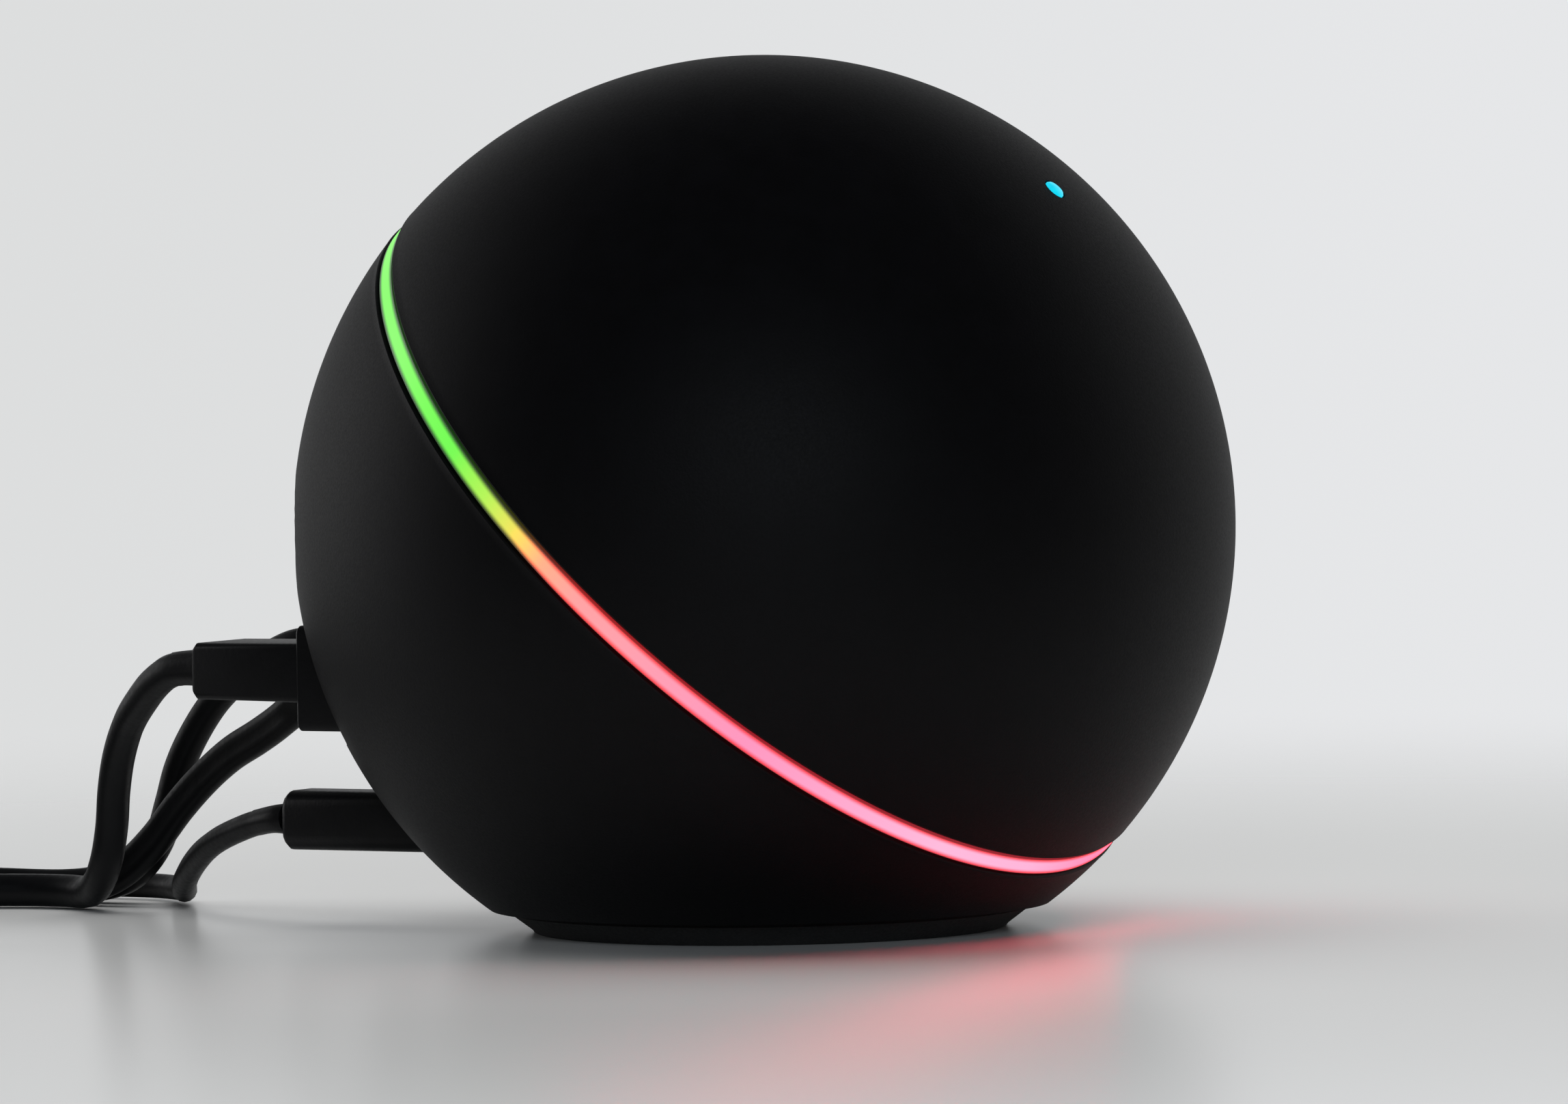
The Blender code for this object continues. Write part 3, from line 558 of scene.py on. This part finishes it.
def t_outline():
    """The recess's outline, with rounded corners, from the ball's centre."""
    corners = [
        (-UPPER_HALF, RECESS_TOP),
        (-UPPER_HALF, ROW_SPLIT),
        (-LOWER_HALF, ROW_SPLIT),
        (-LOWER_HALF, RECESS_BOTTOM),
        (LOWER_HALF, RECESS_BOTTOM),
        (LOWER_HALF, ROW_SPLIT),
        (UPPER_HALF, ROW_SPLIT),
        (UPPER_HALF, RECESS_TOP),
    ]
    radius = 0.0012
    points = []
    for before, corner, after in zip(corners[-1:] + corners, corners, corners[1:] + corners[:1]):
        corner = Vector(corner)
        start = corner + (Vector(before) - corner).normalized() * radius
        end = corner + (Vector(after) - corner).normalized() * radius
        for i in range(5):
            share = i / 4
            points.append(start.lerp(corner, share).lerp(corner.lerp(end, share), share))
    return points


def prism(name, outline, low_y, high_y, paint):
    """An outline of (x, z) points about the ball's centre, extruded along Y."""
    bm = bmesh.new()
    face = bm.faces.new([bm.verts.new((x, low_y, CENTRE.z + z)) for x, z in outline])
    extruded = bmesh.ops.extrude_face_region(bm, geom=[face])
    moved = [v for v in extruded["geom"] if isinstance(v, bmesh.types.BMVert)]
    bmesh.ops.translate(bm, verts=moved, vec=(0.0, high_y - low_y, 0.0))
    return add_mesh(name, bm, paint)


def make_base(paint):
    """The lower shell with its flat underside, rear recess and small flat spot."""
    high = SEAM_BOTTOM - GAP
    rim = arc((BALL_R - RIM_ROUND, high - RIM_ROUND), RIM_ROUND, 10.0, 90.0, 4)
    outer = [(0.0, -BALL_R)] + ball_arc(BALL_R, -BALL_R * 0.99995, high - RIM_ROUND, 90)[1:]
    inner_r = BALL_R - SHELL_WALL
    inner = ball_arc(inner_r, -inner_r * 0.99995, high, 30)[::-1] + [(0.0, -inner_r)]
    bm = lathe(outer + rim + inner, FINE, closed=False)
    flat_spot(bm)
    base = add_mesh("base", bm, paint["matt_black"])
    recess = prism("recess", t_outline(), 0.0, 0.09, paint["matt_black"])
    cut(base, recess)
    far = 0.2
    flat = CENTRE.z + BASE_FLAT
    under = rounded_box("under", (-far, -far, -far), (far, far, flat), 0.001, paint["matt_black"])
    cut(base, under)
    base.data.shade_smooth()
    base.data.set_sharp_from_angle(angle=math.radians(35.0))
    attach(base, "base")
    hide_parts("base_shell")


FLAT_AZIMUTH = math.radians(29.0)  # the flat spot faces the rear, turned to the device's right
FLAT_DEPTH = 0.0005


def flat_spot(bm):
    """Presses the shell's surface flat over a small round spot."""
    normal = Vector((-math.sin(FLAT_AZIMUTH), math.cos(FLAT_AZIMUTH), 0.0))
    limit = BALL_R - FLAT_DEPTH
    for vert in bm.verts:
        over = (vert.co - CENTRE).dot(normal) - limit
        if over > 0.0:
            vert.co -= normal * over


def make_recess_walls(paint):
    """The recess's side walls, from the inside of the shell back to the port panel."""
    outline = t_outline()
    within = BALL_R - SHELL_WALL + 0.0001
    bm = bmesh.new()
    rows = []
    for before, here, after in zip(outline[-1:] + outline, outline, outline[1:] + outline[:1]):
        along = (Vector(after) - Vector(before)).normalized()
        outward = Vector((along.y, -along.x)) * RECESS_WALL
        row = []
        for x, z in (Vector(here), Vector(here) + outward):
            high = math.sqrt(within**2 - x**2 - z**2)
            low = min(PANEL_Y - 0.0015, high - 0.0004)
            row += [bm.verts.new((x, low, CENTRE.z + z)), bm.verts.new((x, high, CENTRE.z + z))]
        rows.append(row)
    for here, after in zip(rows, rows[1:] + rows[:1]):
        for first, second in ((0, 1), (1, 3), (3, 2), (2, 0)):
            bm.faces.new([here[first], here[second], after[second], after[first]])
    bmesh.ops.recalc_face_normals(bm, faces=bm.faces)
    walls = add_mesh("recess_walls", bm, paint["matt_black"])
    walls.data.shade_smooth()
    walls.data.set_sharp_from_angle(angle=math.radians(35.0))
    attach(walls, "base")


def make_ring(paint):
    """The lit diffuser in the seam, a hair below the shells."""
    sunk = BALL_R - 0.00022
    outline = [(0.0545, SEAM_BOTTOM), *ball_arc(sunk, SEAM_BOTTOM, SEAM_TOP, 6), (0.0545, SEAM_TOP)]
    ring = add_mesh("seam_light", lathe(outline, FINE), paint["light_ring"])
    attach(ring, "base")
    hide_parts("light_ring")


def make_lens(paint):
    """The mute light's lens, flush in the pole."""
    outline = [(0.0, 0.0549), (0.0024, 0.0549), (0.0024, 0.0556), (0.0013, 0.0556), (0.0013, 0.0579)]
    outline += [(0.0011, 0.05812), (0.0006, 0.05825), (0.0, 0.0583)]
    lens = add_mesh("mute_lens_fine", lathe(outline, 48, closed=False), paint["mute_light"])
    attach(lens, "dome")
    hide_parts("mute_lens")


def make_foot(paint):
    """The rubber foot, with a soft lower edge."""
    top_r = (FOOT_HIGH.x - FOOT_LOW.x) / 2.0
    low_r = 0.0290
    low, high = FOOT_LOW.z, FOOT_HIGH.z + 0.0002
    edge = 0.0006
    outline = [(0.0, low + 0.0001), (low_r - 0.003, low)]
    outline += arc((low_r - edge * 0.4, low + edge), edge, -90.0, -20.0, 5)
    outline += [(top_r, high - 0.0004), (top_r - 0.0003, high), (0.0, high)]
    foot = add_mesh("foot", lathe(outline, 128, Matrix.Identity(4), closed=False), paint["rubber"])
    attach(foot, "base")
    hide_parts("rubber_foot")


# ---- cords and plugs -----------------------------------------------------------------------------
def sweep(name, path, section, paint, sizes=None, twists=None):
    """A section carried along a path; its X axis starts level, and it may grow and twist."""
    sizes = sizes or [1.0] * len(path)
    twists = twists or [0.0] * len(path)
    bm = bmesh.new()
    rings = []
    level = Vector((1.0, 0.0, 0.0))
    for index, point in enumerate(path):
        before = path[max(index - 1, 0)]
        after = path[min(index + 1, len(path) - 1)]
        along = (after - before).normalized()
        level = (level - along * level.dot(along)).normalized()
        side = Matrix.Rotation(twists[index], 3, along) @ level
        up = along.cross(side)
        size = sizes[index]
        rings.append([bm.verts.new(point + (side * a + up * b) * size) for a, b in section])
    for one, two in zip(rings, rings[1:]):
        for i in range(len(one)):
            j = (i + 1) % len(one)
            bm.faces.new((one[i], one[j], two[j], two[i]))
    bm.faces.new(rings[0])
    bm.faces.new(rings[-1])
    return add_mesh(name, bm, paint, 50.0)


def round_section(radius, count=14):
    """A circle's outline."""
    return arc((0.0, 0.0), radius, 0.0, 360.0 * (count - 1) / count, count - 1)


def twin_section(width, thick):
    """The outline of a flat twin cord: two round cores side by side, with a groove between them."""
    radius = thick / 2.0
    offset = width / 2.0 - radius
    right = arc((offset, 0.0), radius, -110.0, 110.0, 9)
    left = arc((-offset, 0.0), radius, 70.0, 290.0, 9)
    return right + left


def lengths_along(path):
    """The distance along a path at each of its points."""
    found = [0.0]
    for start, end in zip(path, path[1:]):
        found.append(found[-1] + (end - start).length)
    return found


def start_of(path, length):
    """The points of a path's first stretch."""
    return [point for point, far in zip(path, lengths_along(path)) if far <= length]


RELIEF_LENGTH = 0.0060
TWIN_WIDTH, TWIN_THICK = 0.0046, 0.0026


def make_relief(name, path, section, twists, paint):
    """The tapered sleeve that keeps a cord from kinking where it leaves its plug."""
    stretch = start_of(path, RELIEF_LENGTH)
    share = [i / (len(stretch) - 1) for i in range(len(stretch))]
    sizes = [1.20 - 0.16 * ease(value) for value in share]
    relief = sweep(name, stretch, section, paint, sizes, twists[: len(stretch)])
    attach(relief, "base")
    return relief


def make_lead(name, lead, paint):
    """One cord from its plug at the recess to its far plug, with its sleeves and ties."""
    path = lead_path(lead)
    twists = [0.0] * len(path)
    section = round_section(lead["radius"])
    if name == "mains":
        # The flat cord turns on edge behind the plugs and stays so in its coil.
        section = twin_section(TWIN_WIDTH, TWIN_THICK)
        turn_from, turn_over = 0.003, 0.016
        twists = [math.pi / 2.0 * ease((far - turn_from) / turn_over) for far in lengths_along(path)]
    cord = sweep(f"{name}_lead", path, section, paint["cord"], twists=twists)
    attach(cord, "base")
    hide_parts(f"{name}_cord", f"{name}_coil", f"{name}_cord_tail")
    far_twists = [twists[-1]] * len(path)
    on_cord = [
        make_plug(f"{name}_plug", paint),
        make_plug(f"{name}_far_plug", paint),
        make_relief(f"{name}_relief", path, section, twists, paint["plug"]),
        make_relief(f"{name}_far_relief", path[::-1], section, far_twists, paint["plug"]),
        make_tie(f"{name}_tie_1", lead, 60.0, paint["tie"]),
        make_tie(f"{name}_tie_2", lead, 235.0, paint["tie"]),
    ]


def rounded_rect(width, height, corner, count=4):
    """A rectangle's outline with rounded corners, about its centre."""
    x, z = width / 2.0 - corner, height / 2.0 - corner
    points = []
    for index, (cx, cz) in enumerate(((x, z), (-x, z), (-x, -z), (x, -z))):
        points += arc((cx, cz), corner, 90.0 * index, 90.0 * index + 90.0, count)
    return points


def loft_into(bm, x, z, sections):
    """Adds a closed solid through rounded rectangles (y, width, height, corner, lift) along Y."""
    rings = []
    for y, width, height, corner, lift in sections:
        outline = rounded_rect(width, height, corner)
        rings.append([bm.verts.new((x + a, y, z + lift + b)) for a, b in outline])
    for one, two in zip(rings, rings[1:]):
        for i in range(len(one)):
            j = (i + 1) % len(one)
            bm.faces.new((one[i], one[j], two[j], two[i]))
    bm.faces.new(rings[0])
    bm.faces.new(rings[-1])


# Each plug: X and Z of its line along Y, then its solids: a paint and its rounded sections
# (y, width, height, corner radius, lift).
PLUGS = {
    "network_plug": (
        -0.0215,
        0.0317,
        [
            ("contact", [(0.0246, 0.0110, 0.0074, 0.0004, 0.0), (0.0350, 0.0110, 0.0074, 0.0004, 0.0)]),
            (
                "plug",
                [
                    (0.0342, 0.0144, 0.0124, 0.0008, 0.0),
                    (0.0345, 0.0150, 0.0130, 0.0010, 0.0),
                    (0.0499, 0.0150, 0.0130, 0.0010, 0.0),
                    (0.0502, 0.0144, 0.0124, 0.0008, 0.0),
                ],
            ),
            (
                "plug",
                [
                    (0.0490, 0.0127, 0.0073, 0.0007, 0.0006),
                    (0.0655, 0.0128, 0.0070, 0.0009, 0.0007),
                    (0.0660, 0.0124, 0.0060, 0.0009, 0.0007),
                    (0.0662, 0.0112, 0.0046, 0.0008, 0.0007),
                ],
            ),
        ],
    ),
    "mains_plug": (
        -0.0032,
        0.0317,
        [
            ("plug", [(0.0246, 0.0132, 0.0070, 0.0032, 0.0), (0.0350, 0.0132, 0.0070, 0.0032, 0.0)]),
            (
                "plug",
                [
                    (0.0342, 0.0150, 0.0092, 0.0040, 0.0),
                    (0.0348, 0.0160, 0.0100, 0.0044, 0.0),
                    (0.0455, 0.0156, 0.0098, 0.0044, 0.0),
                    (0.0480, 0.0110, 0.0080, 0.0034, 0.0),
                    (0.0500, 0.0070, 0.0060, 0.0022, 0.0),
                    (0.0542, 0.0060, 0.0046, 0.0018, 0.0),
                ],
            ),
        ],
    ),
    "video_plug": (
        0.0118,
        0.0317,
        [
            ("contact", [(0.0246, 0.0060, 0.0025, 0.0005, 0.0), (0.0350, 0.0060, 0.0025, 0.0005, 0.0)]),
            (
                "plug",
                [
                    (0.0342, 0.0102, 0.0074, 0.0016, 0.0),
                    (0.0346, 0.0108, 0.0080, 0.0018, 0.0),
                    (0.0500, 0.0107, 0.0079, 0.0018, 0.0),
                    (0.0518, 0.0072, 0.0064, 0.0020, 0.0),
                    (0.0577, 0.0054, 0.0050, 0.0022, 0.0),
                ],
            ),
        ],
    ),
    "optical_plug": (
        -0.0132,
        0.0133,
        [
            ("plug", [(0.0246, 0.0056, 0.0056, 0.0008, 0.0006), (0.0350, 0.0056, 0.0056, 0.0008, 0.0006)]),
            (
                "plug",
                [
                    (0.0342, 0.0078, 0.0068, 0.0018, 0.0),
                    (0.0346, 0.0084, 0.0074, 0.0020, 0.0),
                    (0.0592, 0.0084, 0.0074, 0.0020, 0.0),
                    (0.0598, 0.0078, 0.0066, 0.0020, 0.0),
                    (0.0607, 0.0048, 0.0040, 0.0016, 0.0),
                ],
            ),
        ],
    ),
    "network_far_plug": (
        -0.0564,
        0.0046,
        [
            ("clear", [(0.0910, 0.0116, 0.0078, 0.0004, 0.0), (0.1005, 0.0116, 0.0078, 0.0004, 0.0)]),
            ("contact", [(0.0908, 0.0088, 0.0010, 0.0002, 0.0031), (0.0945, 0.0088, 0.0010, 0.0002, 0.0031)]),
            ("clear", [(0.0925, 0.0060, 0.0010, 0.0003, -0.0036), (0.0990, 0.0056, 0.0008, 0.0003, -0.0038)]),
            (
                "plug",
                [
                    (0.0996, 0.0122, 0.0080, 0.0012, 0.0),
                    (0.1000, 0.0128, 0.0086, 0.0016, 0.0),
                    (0.1085, 0.0110, 0.0078, 0.0020, 0.0),
                    (0.1115, 0.0066, 0.0060, 0.0022, 0.0),
                ],
            ),
        ],
    ),
    "mains_far_plug": (
        -0.0072,
        0.0067,
        [
            ("contact", [(0.2500, 0.0014, 0.0062, 0.0004, 0.0), (0.2670, 0.0014, 0.0058, 0.0004, 0.0)]),
            (
                "plug",
                [
                    (0.2293, 0.0070, 0.0070, 0.0024, 0.0),
                    (0.2320, 0.0100, 0.0100, 0.0034, 0.0),
                    (0.2370, 0.0160, 0.0122, 0.0044, 0.0),
                    (0.2500, 0.0180, 0.0128, 0.0046, 0.0),
                    (0.2516, 0.0180, 0.0128, 0.0046, 0.0),
                    (0.2520, 0.0172, 0.0120, 0.0042, 0.0),
                ],
            ),
        ],
    ),
    "video_far_plug": (
        0.0122,
        0.0058,
        [
            ("contact", [(0.2750, 0.0140, 0.0044, 0.0006, 0.0), (0.2870, 0.0140, 0.0044, 0.0006, 0.0)]),
            (
                "plug",
                [
                    (0.2583, 0.0064, 0.0060, 0.0024, 0.0),
                    (0.2610, 0.0120, 0.0090, 0.0028, 0.0),
                    (0.2640, 0.0190, 0.0108, 0.0026, 0.0),
                    (0.2766, 0.0190, 0.0110, 0.0022, 0.0),
                    (0.2770, 0.0184, 0.0104, 0.0020, 0.0),
                ],
            ),
        ],
    ),
    "optical_far_plug": (
        0.0202,
        0.0044,
        [
            ("plug", [(0.2030, 0.0056, 0.0056, 0.0008, 0.0), (0.2110, 0.0056, 0.0056, 0.0008, 0.0)]),
            (
                "plug",
                [
                    (0.1873, 0.0048, 0.0046, 0.0016, 0.0),
                    (0.1884, 0.0080, 0.0076, 0.0020, 0.0),
                    (0.1892, 0.0084, 0.0082, 0.0020, 0.0),
                    (0.2036, 0.0084, 0.0082, 0.0020, 0.0),
                    (0.2040, 0.0078, 0.0076, 0.0018, 0.0),
                ],
            ),
        ],
    ),
}
MAINS_BLADE_OFFSET = 0.0060


def make_plug(node, paint):
    """A moulded plug in place of its CAD node."""
    x, z, solids = PLUGS[node]
    bm = bmesh.new()
    names = []
    for paint_name, sections in solids:
        if paint_name not in names:
            names.append(paint_name)
        before = len(bm.faces)
        if node == "mains_far_plug" and paint_name == "contact":
            for side in (-MAINS_BLADE_OFFSET, MAINS_BLADE_OFFSET):
                loft_into(bm, x + side, z, sections)
        else:
            loft_into(bm, x, z, sections)
        bm.faces.ensure_lookup_table()
        for face in bm.faces[before:]:
            face.material_index = names.index(paint_name)
    plug = add_mesh(f"{node}_fine", bm, paint[names[0]])
    for extra in names[1:]:
        plug.data.materials.append(paint[extra])
    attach(plug, "base")
    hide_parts(node)
    return plug


TIE_WIDE = 0.0040
TIE_THICK = 0.0007
TIE_UNDER = 0.00004  # the strap's underside just clears the floor


def make_tie(name, lead, angle, paint):
    """A strap round a coil, seen in the coil's own section and placed at an angle."""
    (x, y), outer_r, columns, pitch, rise, *_ = lead["coil"]
    half = lead["radius"] if rise != TWIN_WIDTH else TWIN_WIDTH / 2.0
    radial = TWIN_THICK / 2.0 if rise == TWIN_WIDTH else lead["radius"]
    low = lead["points"][-1][2] - half
    high = low + 2.0 * half + rise + 0.0001
    r_in = outer_r - pitch * (columns - 1) - radial - 0.0001
    r_out = outer_r + radial + 0.0001
    middle = ((r_in + r_out) / 2.0, (low + high) / 2.0)
    inner = rounded_rect(r_out - r_in, high - low, radial * 0.7)
    outer = rounded_rect(r_out - r_in + 2 * TIE_THICK, high - low + 2 * TIE_THICK, radial)
    radially = Vector((math.cos(math.radians(angle)), math.sin(math.radians(angle)), 0.0))
    along = Vector((0.0, 0.0, 1.0)).cross(radially)
    bm = bmesh.new()
    loops = []
    for outline, side in ((inner, -1), (outer, -1), (outer, 1), (inner, 1)):
        loop = []
        for a, b in outline:
            place = Vector((x, y, 0.0)) + radially * (middle[0] + a) + along * (side * TIE_WIDE / 2)
            place.z = max(middle[1] + b, TIE_UNDER if outline is outer else low)
            loop.append(bm.verts.new(place))
        loops.append(loop)
    for one, two in zip(loops, loops[1:] + loops[:1]):
        for i in range(len(one)):
            j = (i + 1) % len(one)
            bm.faces.new((one[i], one[j], two[j], two[i]))
    tie = add_mesh(name, bm, paint)
    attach(tie, "base")
    return tie


def make_leads(paint):
    """All four leads."""
    for name, lead in LEADS.items():
        make_lead(name, lead, paint)


# ---- CAD pieces that stay ------------------------------------------------------------------------
def paint_cad_nodes(paint):
    """Each remaining CAD node gets its slot's procedural material, and plug parts the plug's."""
    for entry in frame["record"]["subparts"]:
        node = frame["nodes"][entry["node"]]
        use = entry["material_slot"]
        for slot in node.material_slots:
            slot.material = paint["plug" if use == "cord_black" else use]


# ---- floor and light -----------------------------------------------------------------------------
FLOOR_R = 2.5
TABLE_ROUGHNESS = 0.25
FADE_FROM, FADE_TO = 0.11, 0.50  # the table's far part gives way softly to the backdrop
ROOM_TOP, ROOM_FRONT, ROOM_BEHIND = 0.04, 0.05, 0.58
BACKDROP_LEFT, BACKDROP_RIGHT = (0.722, 0.730, 0.732), (0.790, 0.798, 0.812)
AWAY = Vector((-math.sin(VIEW_AZIMUTH), math.cos(VIEW_AZIMUTH), 0.0))  # from the camera, level
RIGHT = Vector((AWAY.y, -AWAY.x, 0.0))


def make_floor():
    """A plain pale table with a soft sheen."""
    made, shader, nodes, links = new_material("table", (0.80, 0.80, 0.79), TABLE_ROUGHNESS)
    cloud = add_noise(nodes, links, 3.0, 2.0)
    tint = ramp_between(nodes, links, cloud.outputs["Fac"], (0.79, 0.79, 0.78), (0.81, 0.81, 0.80))
    links.new(tint, shader.inputs["Base Color"])
    place = nodes.new("ShaderNodeTexCoord")
    far = nodes.new("ShaderNodeVectorMath")
    far.operation = "LENGTH"
    links.new(place.outputs["Object"], far.inputs[0])
    fade = nodes.new("ShaderNodeMapRange")
    fade.interpolation_type = "SMOOTHSTEP"
    fade.inputs["From Min"].default_value = FADE_FROM
    fade.inputs["From Max"].default_value = FADE_TO
    fade.inputs["To Min"].default_value = 1.0
    fade.inputs["To Max"].default_value = 0.0
    links.new(far.outputs["Value"], fade.inputs["Value"])
    links.new(fade.outputs[0], shader.inputs["Alpha"])
    bm = bmesh.new()
    bmesh.ops.create_circle(bm, cap_ends=True, radius=FLOOR_R, segments=96)
    add_mesh("floor", bm, made)


def seen_from_camera(far, across, height):
    """A place by its distance behind the ball, to the right of it and above the table."""
    return AWAY * far + RIGHT * across + Vector((0.0, 0.0, height))


def area_light(name, place, aim, size, power, colour=(1.0, 1.0, 1.0)):
    """A soft box at a place, turned towards another."""
    data = bpy.data.lights.new(name, "AREA")
    data.shape = "RECTANGLE"
    data.size, data.size_y = size
    data.energy = power
    data.color = colour
    lamp = bpy.data.objects.new(name, data)
    bpy.context.collection.objects.link(lamp)
    lamp.location = place
    lamp.rotation_mode = "QUATERNION"
    lamp.rotation_quaternion = (aim - place).to_track_quat("-Z", "Y")
    return lamp


def toward(nodes, links, direction, low, high, at_low, at_high):
    """A value that changes smoothly with how far a ray points along a direction."""
    place = nodes.new("ShaderNodeTexCoord")
    facing = nodes.new("ShaderNodeVectorMath")
    facing.operation = "DOT_PRODUCT"
    links.new(place.outputs["Generated"], facing.inputs[0])
    facing.inputs[1].default_value = direction
    change = nodes.new("ShaderNodeMapRange")
    change.interpolation_type = "SMOOTHSTEP"
    change.inputs["From Min"].default_value = low
    change.inputs["From Max"].default_value = high
    change.inputs["To Min"].default_value = at_low
    change.inputs["To Max"].default_value = at_high
    links.new(facing.outputs["Value"], change.inputs["Value"])
    return change.outputs[0]


def make_world():
    """A plain backdrop, and a room that lights from behind and is dim in front and overhead."""
    world = bpy.data.worlds.new("studio")
    bpy.context.scene.world = world
    world.use_nodes = True
    nodes, links = world.node_tree.nodes, world.node_tree.links
    backdrop = nodes["Background"]
    to_right = toward(nodes, links, RIGHT, -0.08, 0.08, 0.0, 1.0)
    tone = ramp_between(nodes, links, to_right, BACKDROP_LEFT, BACKDROP_RIGHT, 0.0, 1.0)
    links.new(tone, backdrop.inputs["Color"])
    room = nodes.new("ShaderNodeBackground")
    room.inputs["Color"].default_value = (0.98, 0.99, 1.0, 1.0)
    overhead = toward(nodes, links, Vector((0.0, 0.0, 1.0)), 0.35, 0.80, 1.0, ROOM_TOP)
    behind = toward(nodes, links, AWAY, -0.15, 0.50, ROOM_FRONT, ROOM_BEHIND)
    links.new(math_node(nodes, links, "MULTIPLY", overhead, behind), room.inputs["Strength"])
    seen = nodes.new("ShaderNodeLightPath")
    mix = nodes.new("ShaderNodeMixShader")
    links.new(seen.outputs["Is Camera Ray"], mix.inputs["Fac"])
    links.new(room.outputs[0], mix.inputs[1])
    links.new(backdrop.outputs[0], mix.inputs[2])
    links.new(mix.outputs[0], nodes["World Output"].inputs["Surface"])


def make_lights():
    """A soft box over the table that the ball doesn't mirror, and weak ones round it."""
    over = area_light(
        "table_box", seen_from_camera(0.3, 0.0, 1.6), seen_from_camera(0.1, 0.0, 0.0), (2.4, 1.6), 25.5
    )
    over.visible_glossy = False
    area_light("front_box", seen_from_camera(-2.0, 0.1, 0.80), CENTRE, (1.1, 0.8), 10.5, (0.84, 0.92, 1.0))
    area_light("left_box", seen_from_camera(0.75, -1.4, 0.30), CENTRE, (0.7, 1.0), 3.0)


make_camera()
PAINT = make_materials()
make_leads(PAINT)
paint_cad_nodes(PAINT)
make_dome(PAINT)
make_base(PAINT)
make_recess_walls(PAINT)
make_ring(PAINT)
make_lens(PAINT)
make_foot(PAINT)
make_floor()
make_world()
make_lights()
bpy.context.scene.view_settings.view_transform = "Standard"
